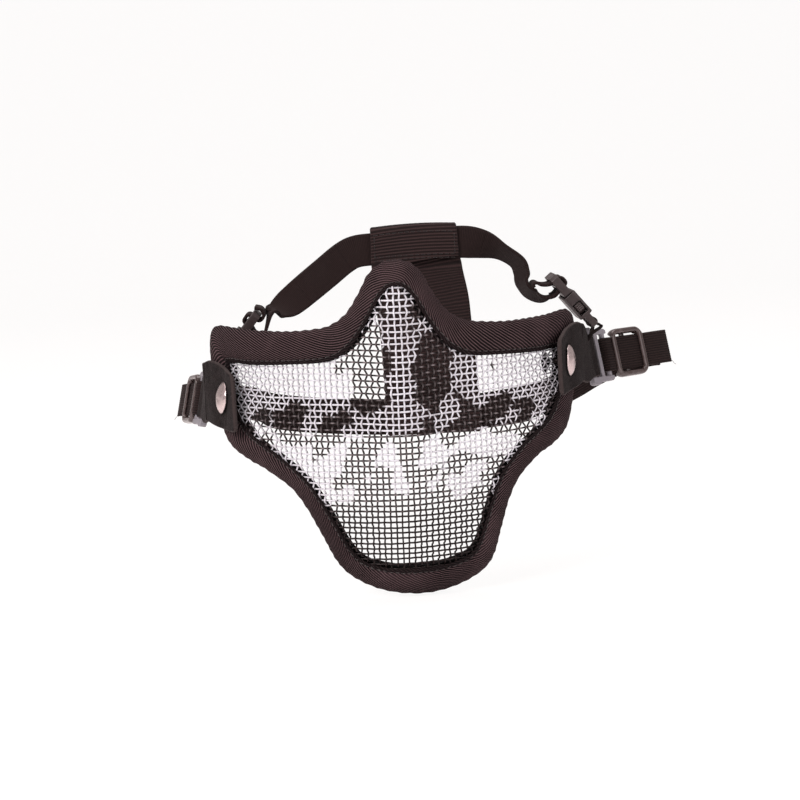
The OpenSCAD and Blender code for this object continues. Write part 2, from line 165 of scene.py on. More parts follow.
def resample(points, step, carried=None, closed=False):
    """Even spacing along a polyline: the points, or values carried by them, lengths, total."""
    carried = points if carried is None else carried
    if closed:
        points = np.concatenate([points, points[:1]])
        carried = np.concatenate([carried, carried[:1]])
    lengths = arc_lengths(points)
    total = lengths[-1]
    even = np.linspace(0, total, max(4, int(round(total / step))) + 1)
    if closed:
        even = even[:-1]
    return sample(even, lengths, carried), even, total


def smooth_noise(points, scale, seed):
    """Smooth noise from -1 to 1."""
    return array([noise.noise(Vector((float(x) / scale + seed, float(y) / scale - seed,
                                      float(z) / scale + 2 * seed))) for x, y, z in points])


# ------------------------------------------------------------------ meshes
def add_mesh(name, verts, faces, body, material, uv=None, attributes=None, fix=True,
             flat_from=None):
    """Add a mesh given in mm. uv is per vertex or per face corner; faces from flat_from are flat."""
    mesh = bpy.data.meshes.new(name)
    mesh.from_pydata((np.asarray(verts, float) / 1000).tolist(), [], faces)
    if uv is not None:
        layer = mesh.uv_layers.new(name="weave")
        corners = np.asarray(uv, np.float32)
        if len(corners) == len(verts):
            index = np.zeros(len(mesh.loops), np.int32)
            mesh.loops.foreach_get("vertex_index", index)
            corners = corners[index]
        layer.data.foreach_set("uv", corners.ravel())
    for key, values in (attributes or {}).items():
        attribute = mesh.attributes.new(key, "FLOAT", "POINT")
        attribute.data.foreach_set("value", np.asarray(values, np.float32))
    if fix:
        bm = bmesh.new()
        bm.from_mesh(mesh)
        bmesh.ops.recalc_face_normals(bm, faces=bm.faces)
        bm.to_mesh(mesh)
        bm.free()
    smooth = np.full(len(mesh.polygons), True)
    if flat_from is not None:
        smooth[flat_from:] = False
    mesh.polygons.foreach_set("use_smooth", smooth.tolist())
    ob = bpy.data.objects.new(name, mesh)
    bpy.context.scene.collection.objects.link(ob)
    ob.data.materials.append(material)
    if body:
        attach(ob, body)
    return ob


def grid_cells(rows, columns, closed_rows=False, closed_columns=True):
    return np.meshgrid(np.arange(rows if closed_rows else rows - 1),
                       np.arange(columns if closed_columns else columns - 1), indexing="ij")


def grid_faces(rows, columns, base=0, **closed):
    i, j = grid_cells(rows, columns, **closed)
    i2, j2 = (i + 1) % rows, (j + 1) % columns
    corners = [i * columns + j, i * columns + j2, i2 * columns + j2, i2 * columns + j]
    return (np.stack(corners, -1).reshape(-1, 4) + base).tolist()


def ribbon_ring(columns):
    """Vertices round a ribbon: two flat sides and three on each rounded edge."""
    return 2 * (columns + 3)


def end_caps(rows, columns):
    """Quad strips that close a ribbon's two ends."""
    ring = ribbon_ring(columns)
    caps = []
    for first, order in ((0, 1), ((rows - 1) * ring, -1)):
        for k in range(columns - 1):
            far = first + 2 * columns + 1 - k
            caps.append([first + k, first + k + 1, far, far + 1][::order])
        for edge in (columns - 1, 2 * columns + 2):
            caps.append([first + (edge + k) % ring for k in range(5)][::order])
    return caps


def ribbon_axes(centres, across):
    """Width direction squared to the run of a ribbon, and its face direction."""
    run = unit(np.gradient(centres, axis=0))
    across = unit(across)
    across = unit(across - (across * run).sum(1, keepdims=True) * run)
    return across, np.cross(run, across)


def ribbon(centres, across, top, bottom, thickness, columns, rib=0, rib_pitch=1.0, cord=0,
           cord_pitch=1.6, edge=0.0, start=0.0):
    """A flat band with rounded edges, as vertices, faces and UV.

    top and bottom are reached along across. Ribs run lengthwise, cords across, and edge
    raises a bead near each long edge.
    """
    rows = len(centres)
    across, out = ribbon_axes(centres, across)
    s = (start + arc_lengths(centres))[:, None]
    top, bottom, thickness = (
        np.broadcast_to(np.asarray(v, float), (rows,))[:, None] for v in (top, bottom, thickness))
    r = thickness / 2
    part = np.linspace(0, 1, columns)
    widths, heights, lengths = [], [], []
    for face, order in ((1, 1), (-1, -1)):
        w = bottom + (top - bottom) * part[::order][None]
        w = np.clip(w, bottom + r * 0.6, top - r * 0.6)
        h = np.ones_like(w) * r
        if rib:
            h = h + rib * 0.5 * np.cos(2 * pi * w / rib_pitch)
        if cord:
            h = h + cord * 0.5 * np.cos(2 * pi * s / cord_pitch)
        if edge:
            inset = np.minimum(w - bottom, top - w)
            h = h + edge * np.exp(-((inset - 0.9) / 0.5) ** 2)
        widths.append(w)
        heights.append(face * h)
        lengths.append(np.repeat(s, columns, 1))
        for k in (1, 2, 3):
            turn = pi * k / 4
            end = top if face > 0 else bottom
            widths.append(end + face * (sin(turn) * r * 0.9 - r * 0.6))
            heights.append(face * cos(turn) * r)
            lengths.append(s)
    w, h, s = (np.concatenate(v, 1) for v in (widths, heights, lengths))
    verts = centres[:, None] + across[:, None] * w[..., None] + out[:, None] * h[..., None]
    faces = grid_faces(rows, w.shape[1]) + end_caps(rows, columns)
    return verts.reshape(-1, 3), faces, np.stack([s, w], -1).reshape(-1, 2)


class Tubes:
    """Round strands gathered into one mesh."""

    def __init__(self):
        self.parts = []
        self.faces = []
        self.count = 0

    def add(self, path, normals, radius, sides):
        """Add a strand; returns how far each vertex faces along the normals, -1 to 1."""
        run = unit(np.gradient(path, axis=0))
        aside = unit(np.cross(run, normals))
        normals = np.cross(aside, run)
        rows = len(path)
        radius = np.broadcast_to(np.asarray(radius, float), (rows,))
        turn = (np.arange(sides) * 2 * pi / sides)[None, :, None]
        ring = np.cos(turn) * normals[:, None] + np.sin(turn) * aside[:, None]
        self.parts.append((path[:, None] + radius[:, None, None] * ring).reshape(-1, 3))
        first, last = self.count, self.count + (rows - 1) * sides
        self.faces += grid_faces(rows, sides, base=first)
        self.faces.append(list(range(first, first + sides))[::-1])
        self.faces.append(list(range(last, last + sides)))
        self.count = last + sides
        return np.tile(np.cos(turn).ravel(), rows)

    def verts(self):
        return np.concatenate(self.parts)


# ------------------------------------------------------------------ materials
class Tree:
    """A material's node tree round one Principled shader."""

    INPUTS = {
        "color": "Base Color", "rough": "Roughness", "metal": "Metallic", "normal": "Normal",
        "spec": "Specular IOR Level", "sheen": "Sheen Weight", "sheen_rough": "Sheen Roughness",
        "coat": "Coat Weight", "coat_rough": "Coat Roughness", "tint": "Sheen Tint"}

    def __init__(self, name):
        self.material = bpy.data.materials.new(name)
        self.material.use_nodes = True
        self.tree = self.material.node_tree
        self.tree.nodes.clear()
        self.output = self.node("ShaderNodeOutputMaterial")
        self.shader = self.node("ShaderNodeBsdfPrincipled")
        self.put(self.output, 0, self.shader.outputs[0])

    def node(self, kind, **settings):
        node = self.tree.nodes.new(kind)
        for key, value in settings.items():
            setattr(node, key, value)
        return node

    def put(self, node, socket, value):
        if isinstance(value, bpy.types.NodeSocket):
            self.tree.links.new(value, node.inputs[socket])
        else:
            node.inputs[socket].default_value = value

    def math(self, operation, a, b=0.0, c=None, clamp=False):
        node = self.node("ShaderNodeMath", operation=operation, use_clamp=clamp)
        self.put(node, 0, a)
        self.put(node, 1, b)
        if c is not None:
            self.put(node, 2, c)
        return node.outputs[0]

    def times(self, a, b):
        return self.math("MULTIPLY", a, b)

    def swing(self, value, amount):
        """A 0 to 1 value centred on zero and scaled."""
        return self.times(self.math("SUBTRACT", value, 0.5), amount)

    def coords(self):
        return self.node("ShaderNodeTexCoord").outputs["Object"]

    def noise(self, scale, detail=3.0, rough=0.5, vector=None):
        node = self.node("ShaderNodeTexNoise")
        self.put(node, "Scale", scale)
        self.put(node, "Detail", detail)
        self.put(node, "Roughness", rough)
        self.put(node, "Vector", vector if vector is not None else self.coords())
        return node.outputs["Fac"]

    def voronoi(self, feature, scale):
        node = self.node("ShaderNodeTexVoronoi", feature=feature)
        self.put(node, "Scale", scale)
        self.put(node, "Vector", self.coords())
        return node.outputs["Distance"]

    def attribute(self, name):
        return self.node("ShaderNodeAttribute", attribute_name=name).outputs["Fac"]

    def remap(self, value, span, to=(0, 1)):
        node = self.node("ShaderNodeMapRange")
        for index, item in enumerate((value, *span, *to)):
            self.put(node, index, item)
        return node.outputs[0]

    def mix(self, factor, first, second):
        """Colour mix; the colour inputs of the node are numbers 6 and 7."""
        node = self.node("ShaderNodeMix", data_type="RGBA")
        self.put(node, 0, factor)
        for index, color in ((6, first), (7, second)):
            self.put(node, index, (*color, 1) if isinstance(color, tuple) else color)
        return node.outputs[2]

    def uv(self):
        layer = self.node("ShaderNodeUVMap", uv_map="weave")
        split = self.node("ShaderNodeSeparateXYZ")
        self.put(split, 0, layer.outputs[0])
        return split.outputs[0], split.outputs[1]

    def bump(self, height, distance, strength, under=None):
        node = self.node("ShaderNodeBump")
        self.put(node, "Height", height)
        self.put(node, "Distance", distance)
        self.put(node, "Strength", strength)
        if under is not None:
            self.put(node, "Normal", under)
        return node.outputs[0]

    def finish(self, **values):
        for key, value in values.items():
            self.put(self.shader, self.INPUTS[key],
                     (*value, 1) if isinstance(value, tuple) else value)
        return self.material


def ridges(t, u, v, angle, pitch):
    """0 to 1 ridges that follow each other in a direction angle degrees from u."""
    c, s = cos(radians(angle)), sin(radians(angle))
    phase = t.math("ADD", t.times(u, 2 * pi * c / pitch), t.times(v, 2 * pi * s / pitch))
    return t.math("MULTIPLY_ADD", t.math("SINE", phase), 0.5, 0.5)


def fabric(name, dark, light, angle, pitch, cross, depth, worn, contrast, sheen=0.06, fibre=0.4,
           wobble=0.2, sharpness=1.6, spec=0.25):
    """Woven cloth: threads at pitch, crossed at the cross pitch, bumped by depth metres."""
    t = Tree(name)
    u, v = t.uv()
    waver = t.noise(scale=260, detail=2)
    u = t.math("ADD", u, t.swing(waver, wobble))
    rib = ridges(t, u, v, angle, pitch)
    weft = ridges(t, u, v, angle + 90, cross)
    thread = t.times(t.math("POWER", rib, sharpness), t.remap(weft, (0, 1), to=(0.72, 1)))
    fibres = t.noise(scale=5200, detail=2, rough=0.6)
    patches = t.noise(scale=45)
    bright = t.math("ADD", t.times(thread, contrast), t.swing(fibres, fibre), clamp=True)
    color = t.mix(bright, dark, light)
    pale = tuple(min(1, x * 1.55 + 0.012) for x in light)
    color = t.mix(t.times(t.remap(patches, (0.45, 0.75)), worn), color, pale)
    if name == "twill_tape":
        # dark piping along the tape's inner edge, with painted shade in the groove beside it
        color = t.mix(t.times(t.attribute("piping_and_groove_shade"), 0.8), color, (0.004, 0.0028, 0.003))
    relief = t.bump(thread, distance=depth, strength=0.9)
    relief = t.bump(fibres, distance=0.00006, strength=0.6, under=relief)
    return t.finish(color=color, rough=t.remap(patches, (0.3, 0.7), to=(0.81, 0.92)),
                    normal=relief, sheen=sheen, sheen_rough=0.45, tint=(0.9, 0.85, 0.86),
                    spec=spec)


def felt():
    """Dark felt with pale specks; the "edge" attribute marks its paler cut edges."""
    t = Tree("felt")
    fuzz = t.noise(scale=1500, detail=5, rough=0.7)
    clumps = t.noise(scale=420, detail=4, rough=0.65)
    specks = t.remap(t.voronoi("F1", scale=900), (0.0, 0.22), to=(1, 0))
    color = t.mix(t.remap(clumps, (0.35, 0.68)), (0.0045, 0.0030, 0.0030),
                  (0.0150, 0.0105, 0.0105))
    color = t.mix(t.times(specks, 0.34), color, (0.075, 0.062, 0.062))
    color = t.mix(t.times(t.attribute("edge"), 0.45), color, (0.10, 0.080, 0.078))
    relief = t.bump(fuzz, distance=0.0004, strength=0.9,
                    under=t.bump(clumps, distance=0.0005, strength=0.7))
    return t.finish(color=color, rough=0.96, normal=relief, sheen=0.08, sheen_rough=0.5,
                    spec=0.1, tint=(0.8, 0.78, 0.78))


def painted_wire():
    """White over black by the "paint" attribute; pale grey on the black crests is part paint wear,
    part painted glint.
    """
    t = Tree("painted_wire")
    paint = t.attribute("paint")
    spray = t.noise(scale=900, detail=3, rough=0.6)
    cover = t.remap(t.math("ADD", paint, t.swing(spray, 0.55)), (0.38, 0.62))
    dirt = t.noise(scale=160)
    white = t.mix(t.remap(dirt, (0.35, 0.7)), (0.80, 0.82, 0.88), (0.66, 0.66, 0.71))
    black = t.mix(t.remap(spray, (0.35, 0.72)), (0.006, 0.003, 0.003), (0.021, 0.011, 0.011))
    relief = t.bump(t.noise(scale=2600), distance=0.00005, strength=0.5)
    glint_and_wear = t.attribute("glint_and_wear")
    glint_and_rub_patches = t.remap(t.noise(scale=420, detail=2), (0.30, 0.55), to=(0.25, 0.9))
    # painted glint and paint wear: the black is mixed towards pale grey on the front of its crests
    black = t.mix(t.times(glint_and_wear, glint_and_rub_patches), black, (0.34, 0.30, 0.31))
    return t.finish(color=t.mix(cover, black, white), rough=t.remap(cover, (0, 1), to=(0.42, 0.5)),
                    metal=0.0, normal=relief, spec=0.32)


def metal(name, color, rough, rear=False):
    """Finely scratched metal; with rear, the "rear" attribute paints shade on it, near black."""
    t = Tree(name)
    fine = t.noise(scale=700, detail=4, rough=0.6)
    wide = t.noise(scale=70)
    stretch = t.node("ShaderNodeMapping")
    t.put(stretch, "Vector", t.coords())
    t.put(stretch, "Scale", (120, 2400, 2400))
    hair = t.noise(scale=1.0, detail=3, rough=0.7, vector=stretch.outputs[0])
    shade = t.mix(t.remap(wide, (0.3, 0.7)), color, tuple(x * 0.86 for x in color))
    relief = t.bump(hair, distance=0.00003, strength=0.5,
                    under=t.bump(wide, distance=0.00025, strength=0.25))
    # painted shade: the rivet below its cap, between the tab and the shell and inside the mask, goes
    # near black
    if rear:
        shade = t.mix(t.attribute("rear"), shade, (0.012, 0.010, 0.010))
    return t.finish(color=shade, metal=1.0,
                    rough=t.remap(fine, (0.3, 0.7), to=(rough * 0.7, rough * 1.3)), normal=relief)


def plastic(name, color, rough, grain, edge, coat=0.0):
    """Moulded plastic with convex edges worn to the edge colour."""
    t = Tree(name)
    grains = t.noise(scale=3000, detail=3, rough=0.6)
    wide = t.noise(scale=60, detail=4, rough=0.6)
    light = tuple(min(1, x * 1.3 + 0.004) for x in color)
    shade = t.mix(t.remap(wide, (0.35, 0.7)), color, light)
    geometry = t.node("ShaderNodeNewGeometry")
    wear = t.times(t.remap(geometry.outputs["Pointiness"], (0.51, 0.58)),
                   t.remap(t.noise(scale=420), (0.45, 0.65)))
    shade = t.mix(t.times(wear, 0.5), shade, edge)
    relief = t.bump(grains, distance=0.00006, strength=grain,
                    under=t.bump(wide, distance=0.0003, strength=0.15))
    gloss = t.remap(t.noise(scale=240), (0.3, 0.7), to=(rough * 0.8, rough * 1.2))
    return t.finish(color=shade, rough=gloss, normal=relief, spec=0.5, coat=coat, coat_rough=0.12)


def foam():
    t = Tree("foam")
    cells = t.voronoi("SMOOTH_F1", scale=1600)
    color = t.mix(cells, (0.012, 0.011, 0.012), (0.04, 0.037, 0.038))
    return t.finish(color=color, rough=0.95, spec=0.15,
                    normal=t.bump(cells, distance=0.00025, strength=0.7))


def thread(name, color):
    t = Tree(name)
    fibres = t.noise(scale=2500)
    return t.finish(color=t.mix(fibres, color, tuple(x * 2.1 + 0.01 for x in color)), rough=0.7,
                    normal=t.bump(fibres, distance=0.00008, strength=0.7), sheen=0.3, spec=0.3)


TWILL = fabric("twill_tape", dark=(0.0022, 0.0014, 0.0016), light=(0.150, 0.098, 0.104),
               angle=TWILL_ANGLE, pitch=TWILL_PITCH, cross=0.7, depth=0.00024, worn=0.12,
               wobble=0.08, sharpness=3.8, contrast=1.1, fibre=0.22, sheen=0.0, spec=0.12)
WEBBING = fabric("ribbed_webbing", dark=(0.005, 0.0025, 0.0025), light=(0.030, 0.0165, 0.015),
                 angle=90, pitch=1.15, cross=0.8, depth=0.0002, worn=0.12, contrast=0.9,
                 sheen=0.02)
ELASTIC = fabric("smooth_elastic", dark=(0.009, 0.0042, 0.0040), light=(0.027, 0.0145, 0.0135),
                 angle=0, pitch=0.7, cross=0.6, depth=0.00006, worn=0.10, contrast=0.8,
                 sheen=0.03)
PANEL = fabric("ribbed_elastic", dark=(0.009, 0.0048, 0.0048), light=(0.055, 0.032, 0.031),
               angle=0, pitch=1.42, cross=0.85, depth=0.00014, worn=0.08, contrast=0.85)
FELT = felt()
WIRE = painted_wire()
FOAM = foam()
RIVET = metal("rivet_cap", color=(0.80, 0.68, 0.67), rough=0.3, rear=True)
WASHER = metal("rivet_back", color=(0.030, 0.027, 0.027), rough=0.45)
RING = plastic("ring_grey", color=(0.23, 0.225, 0.25), rough=0.38, grain=0.5,
               edge=(0.5, 0.48, 0.5))
SLIDER = plastic("slider_gloss", color=(0.045, 0.030, 0.028), rough=0.2, grain=0.2, coat=0.5,
                 edge=(0.3, 0.25, 0.25))
BUCKLE = plastic("buckle_grain", color=(0.030, 0.021, 0.021), rough=0.4, grain=0.8,
                 edge=(0.14, 0.11, 0.11))
THREAD = thread("sewing_thread", (0.020, 0.015, 0.015))
PANEL_THREAD = thread("panel_thread", (0.006, 0.0035, 0.0035))


# ------------------------------------------------------------------ poses of the side hardware
# A pose is an origin and a matrix of axes, worked out on the +X side for both sides;
# mirrored() then carries the -X pieces over.
def rotation(axis, degrees):
    c, s = cos(radians(degrees)), sin(radians(degrees))
    i, j = {"x": (1, 2), "y": (2, 0), "z": (0, 1)}[axis]
    matrix = np.eye(3)
    matrix[i, i] = matrix[j, j] = c
    matrix[i, j] = -s
    matrix[j, i] = s
    return matrix


def ring_pose(sign):
    if sign > 0:
        origin, swing, lean = array([91.5, 7, RISE - 3.4]), 48, 2
    else:
        origin, swing, lean = array([86.5, 5, -RISE - 3.6]), 20, 8
    return origin, rotation("z", 90 - swing) @ rotation("y", lean) @ rotation("x", -15)


def web_pose(sign):
    """Starts at the ring's outer bar; x runs along the webbing."""
    origin, axes = ring_pose(sign)
    return origin + axes @ array([11.6, 0, 0]), axes @ rotation("z", -10 if sign > 0 else 2)


def buckle_pose(sign):
    origin = (92.5, 9, 18.0) if sign > 0 else (79, 9, 7.6)
    return array(origin), rotation("y", -129.8)


def place(pose, points):
    origin, axes = pose
    return origin + array(points, float) @ axes.T


def mirrored(sign, verts):
    return verts if sign > 0 else array(verts) * array([-1, 1, 1])


def side(sign):
    return "right" if sign > 0 else "left"


# ------------------------------------------------------------------ woven wire
WIRE_PITCH = 2.54
WIRE_RADIUS = 0.395
WIRE_SIDES = 6
# The wires end part way under the tape
WIRE_EDGE = closed_curve(full_outline(INNER) * 0.62 + full_outline(OUTER) * 0.38, 10)


def crossings(axis, level):
    """Stretches inside the wire edge along the line where coordinate axis equals level."""
    a, b = WIRE_EDGE, np.roll(WIRE_EDGE, -1, axis=0)
    before, after = a[:, axis] - level, b[:, axis] - level
    hit = np.where(before * after < 0)[0]
    t = before[hit] / (before[hit] - after[hit])
    other = 1 - axis
    ends = np.sort(a[hit, other] + (b[hit, other] - a[hit, other]) * t)
    return [(ends[i], ends[i + 1]) for i in range(0, len(ends) - 1, 2)]


def sheet(points):
    """Where points fall, in mm, on a flat sheet through the view target facing the camera's rise."""
    x = points[..., 0]
    y, z = points[..., 1] - VIEW_TARGET[1], points[..., 2] - VIEW_TARGET[2]
    c, s = cos(VIEW_RISE), sin(VIEW_RISE)
    distance = VIEW_DISTANCE + y * c - z * s
    return x * VIEW_DISTANCE / distance, (y * s + z * c) * VIEW_DISTANCE / distance


def two_tone(x, v):
    """1 where the white coat lies, 0 where the black shows, at x across and v up the sheet."""
    flat = np.zeros_like(x)
    large = smooth_noise(np.stack([x - v * 0.5, v * 0.85 + x * 0.3, flat], -1), 9.5, 4.0)
    small = smooth_noise(np.stack([x, v * 0.8, flat], -1), 4.2, 13.0)
    out = np.abs(x)
    # pale cheeks with a darker foot
    bias = 0.75 * ease(17, 27, out) * ease(-3, 4, v)
    bias -= 0.42 * ease(17, 25, out) * ease(-1, -6, v) * ease(-20, -14, v)
    # darker nose flanks, paler nose ridge
    bias -= 0.80 * np.exp(-((out - 13) / 6.5) ** 2) * ease(-8, 2, v) * ease(30, 20, v)
    bias += 0.50 * np.exp(-(x / 5.5) ** 2) * ease(-16, -10, v)
    # paler band under the nose
    bias += 0.28 * ease(2, -8, v) * ease(-16, -11, v)
    bias += 0.15 * ease(20, 14, out) * ease(-17, -12, v) * ease(1, -4, v)
    # darker below it, but paler towards the sides
    bias -= 0.10 * ease(-12, -20, v)
    bias += 0.42 * ease(20, 30, out + 0.30 * (v + 20)) * ease(-12, -18, v)
    # black chin
    bias -= 1.6 * ease(-36, -50, v)
    return np.clip(((large + 0.45 * small) * 1.05 + bias) / 0.34 + 0.5, 0, 1)


def build_wires(kind, numbers):
    upright = kind == "upright"
    tubes = Tubes()
    paint, glints_and_wear = [], []
    for number in numbers:
        level = (number + 0.5 if upright else number) * WIRE_PITCH
        for low, high in crossings(0 if upright else 1, level):
            if high - low < 2.0:
                continue
            count = max(5, int((high - low) / WIRE_PITCH * detail(5, 3)) + 1)
            run = np.linspace(low, high, count)
            wander = 0.10 * np.sin(run / 9.0 + number * 1.7)
            wander += 0.06 * np.sin(run / 3.7 + number * 4.1)
            # the uprights weave in and out; the cross wires stay almost straight
            if upright:
                u, z = level + wander, run
                beat = np.cos(pi * (run / WIRE_PITCH + number))
                weave = 0.80 * beat
                glint_and_wear = np.clip(beat, 0, 1) ** 3 * 0.45
            else:
                u, z = run, level + wander
                beat = np.cos(pi * (run / WIRE_PITCH - 0.5 + number))
                weave = -0.08 * beat
                glint_and_wear = np.clip(-beat, 0, 1) ** 2
            normals = shell_normal(u, z)
            path = shell_point(u, z) + normals * weave[:, None]
            facing = tubes.add(path, normals, WIRE_RADIUS, WIRE_SIDES)
            x, v = sheet(path)
            paint.append(np.repeat(two_tone(x, v), WIRE_SIDES)
                         * np.clip(facing * 2.2 + 0.9, 0, 1))
            # painted glint and paint wear: pale grey on the front of the wire crests, faded out over
            # the chin
            glints_and_wear.append(np.repeat(glint_and_wear * ease(-50, -38, v), WIRE_SIDES)
                          * np.clip(facing * 1.6 - 0.2, 0, 1))
    attributes = {"paint": np.concatenate(paint), "glint_and_wear": np.concatenate(glints_and_wear)}
    ob = add_mesh(f"mesh_wires_{kind}", tubes.verts(), tubes.faces, "mask", WIRE,
                  attributes=attributes, fix=False)
    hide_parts("mesh_shell")


# ------------------------------------------------------------------ edge tape
# Sections: share of the way from the inner to the outer outline, height over the shell.
# Visible fold: front lip, groove, puffed front, rim, rear, groove, rear lip
TAPE_FOLD = [
    (0.0, .95), (-.02, 1.25), (0.0, 1.62), (.045, 1.88), (.085, 1.72), (.115, 1.62), (.15, 1.95),
    (.22, 2.42), (.34, 2.78), (.5, 2.86), (.66, 2.66), (.8, 2.2), (.9, 1.62), (.97, .95),
    (1.01, .25), (1.03, -.5), (1.015, -1.3), (.975, -2.05), (.9, -2.75), (.78, -3.3),
    (.62, -3.6), (.46, -3.66), (.3, -3.5), (.19, -3.22), (.14, -2.92), (.105, -2.8),
    (.07, -2.95), (.03, -2.95), (.0, -2.7), (-.01, -2.4)]
TAPE_LINING = [(.02, -2.2), (.15, -2.6), (.5, -2.85), (.78, -2.2), (.82, -.9), (.82, .9),
               (.4, .95), (.15, .95)]
PAD = array([(.02, -1.1), (.78, -1.1), (.75, -2.1), (.5, -2.75), (.15, -2.5), (.02, -2.05)])
TAPE_STEP = detail(0.60, 1.6)
TAPE_WIDTH = 14.2  # mean, for the weave
GROOVE = 0.108  # share of the way across at which the stitches lie


def rim_loops(step):
    """Matching points of the outer and inner outlines, their lengths along the rim, total."""
    outer, inner = (closed_curve(full_outline(half), 24) for half in (OUTER, INNER))
    middle = shell_point(*(0.5 * (outer + inner)).T)
    loops, lengths, total = resample(middle, step, np.concatenate([outer, inner], 1), closed=True)
    return loops[:, :2], loops[:, 2:], lengths, total


def across_rim(outer, inner, share):
    """Shell points and normals at shares of the way from the inner to the outer outline."""
    u, z = np.moveaxis(inner[:, None] + (outer - inner)[:, None] * share[None, :, None], -1, 0)
    return shell_point(u, z), shell_normal(u, z)


def rim_pucker(phase, total):
    """Puckers from the sewing."""
    long = np.sin(phase * round(total / 6.4) + 1.3 * np.sin(phase * 9))
    return 0.16 * long + 0.12 * np.sin(phase * round(total / 3.3) + 2.1 * np.sin(phase * 5 + 1))


def build_tape():
    outer, inner, lengths, total = rim_loops(TAPE_STEP)
    rows = len(outer)
    fold = open_curve(TAPE_FOLD, detail(3, 1))
    section = np.concatenate([fold, TAPE_LINING])
    columns = len(section)
    share, height = section.T
    points, normals = across_rim(outer, inner, share)
    phase = 2 * pi * lengths / total
    pucker = rim_pucker(phase, total)[:, None]
    swell = 0.28 * np.sin(phase * 11 + 2 * np.sin(phase * 3)) + 0.2 * np.sin(phase * 23 + 1.0)
    # where each unevenness shows on the section
    visible = np.zeros(columns)
    visible[:len(fold)] = 1
    bulge = np.exp(-((share - .55) / .42) ** 2) * visible
    rim = np.clip((share - .8) / .2, 0, 1) * visible
    near_groove = np.exp(-((share - .12) / .1) ** 2) * visible
    face = np.sign(height + .4)
    # twill ribs, with the lengthwise scale set so that they close round the rim
    spread = arc_lengths(np.stack([share * TAPE_WIDTH, height], 1))
    c, s = cos(radians(TWILL_ANGLE)), sin(radians(TWILL_ANGLE))
    scale = round(total * c / TWILL_PITCH) * TWILL_PITCH / (total * c)
    diagonal = lengths[:, None] * scale * c + spread[None] * s
    ribs = detail(0.085, 0) * np.sin(2 * pi * diagonal / TWILL_PITCH)
    ribs = ribs * np.clip((share - .1) / .06, 0, 1) * visible
    uneven = pucker * (near_groove + 0.45 * bulge) + swell[:, None] * bulge * 0.8 + ribs
    verts = points + normals * (height + face * uneven)[..., None]
    # gently scalloped outer edge
    outward = unit(shell_point(*outer.T) - shell_point(*inner.T))
    scallop = 0.20 * np.sin(phase * round(total / 4.7) + 1.7 * np.sin(phase * 7)) + 0.15 * swell
    verts = verts + outward[:, None] * (scallop[:, None] * rim)[..., None]
    verts = verts.reshape(-1, 3)
    lumps = smooth_noise(verts, 7.0, 3.1) * np.tile(face * bulge, rows) * detail(0.22, 0)
    verts = verts + normals.reshape(-1, 3) * lumps[:, None]
    faces = grid_faces(rows, columns, closed_rows=True)
    u = np.append(lengths, total) * scale
    v = np.append(spread, spread[-1] + 1)
    i, j = grid_cells(rows, columns, closed_rows=True)
    corners = ((i, j), (i, j + 1), (i + 1, j + 1), (i + 1, j))
    uv = np.stack([np.stack([u[a], v[b]], -1) for a, b in corners], 2).reshape(-1, 2)
    # near black on the front and rear lips and in the groove: dark piping plus painted groove shade
    piping_and_groove_shade = np.tile(np.clip((.15 - share) / .05, 0, 1) * visible, rows)
    ob = add_mesh("edge_tape", verts, faces, "mask", TWILL, uv=uv,
                  attributes={"piping_and_groove_shade": piping_and_groove_shade})
    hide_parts("edge_binding")


def build_tape_stitches():
    """A row of stitches in the groove, on the front and on the rear."""
    outer, inner, lengths, total = rim_loops(TAPE_STEP)
    pucker = rim_pucker(2 * pi * lengths / total, total)
    wrapped = np.append(lengths, total)
    pitch, gap = 2.9, 0.85
    arch = array([-.22, .02, .12, .12, .02, -.22])
    radius = array([.12, .2, .22, .22, .2, .12])
    count = int(total / pitch)
    points, normals = (v[:, 0] for v in across_rim(outer, inner, array([GROOVE])))
    normal_loop = np.concatenate([normals, normals[:1]])
    tubes = Tubes()
    for height in (1.78, -2.98):
        face = np.sign(height)
        line = points + normals * (height + face * pucker * 0.95)[:, None]
        line = np.concatenate([line, line[:1]])
        for number in range(count):
            start = number * total / count
            where = np.linspace(start, start + pitch - gap, 6)
            up = unit(sample(where, wrapped, normal_loop)) * face
            tubes.add(sample(where, wrapped, line) + up * arch[:, None], up, radius, 5)
    add_mesh("tape_stitches", tubes.verts(), tubes.faces, "mask", THREAD,
             fix=False)


def build_rim_pad():
    """Soft pad under the tape."""
    outer, inner, _, _ = rim_loops(2.2)
    points, normals = across_rim(outer, inner, PAD[:, 0])
    verts = (points + normals * PAD[None, :, 1:]).reshape(-1, 3)
    faces = grid_faces(len(outer), len(PAD), closed_rows=True)
    ob = add_mesh("rim_pad", verts, faces, "mask", FOAM, flat_from=0)
    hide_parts("binding_foam")


# ------------------------------------------------------------------ rivets
RIVET_U = 81.5
RIVET_TILT = 20  # degrees the rivet turns about Z from the shell's normal
# Radius, height over the shell, from the middle of the cap to the middle of the rear end
RIVET_PROFILE = array([
    (0, 9.32), (1.2, 9.3), (2.4, 9.18), (3.6, 8.95), (4.6, 8.62), (5.5, 8.18), (6.15, 7.75),
    (6.6, 7.4), (6.9, 7.12), (7.0, 6.85), (6.9, 6.68), (6.5, 6.66), (3.0, 6.66), (1.7, 6.6),
    (1.7, -4.75), (2.6, -4.8), (2.62, -5.2), (2.3, -5.45), (1.2, -5.5), (0, -5.5)])


def repaint(node, material):
    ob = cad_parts[node]
    ob.data.materials.clear()
    ob.data.materials.append(material)
    return ob


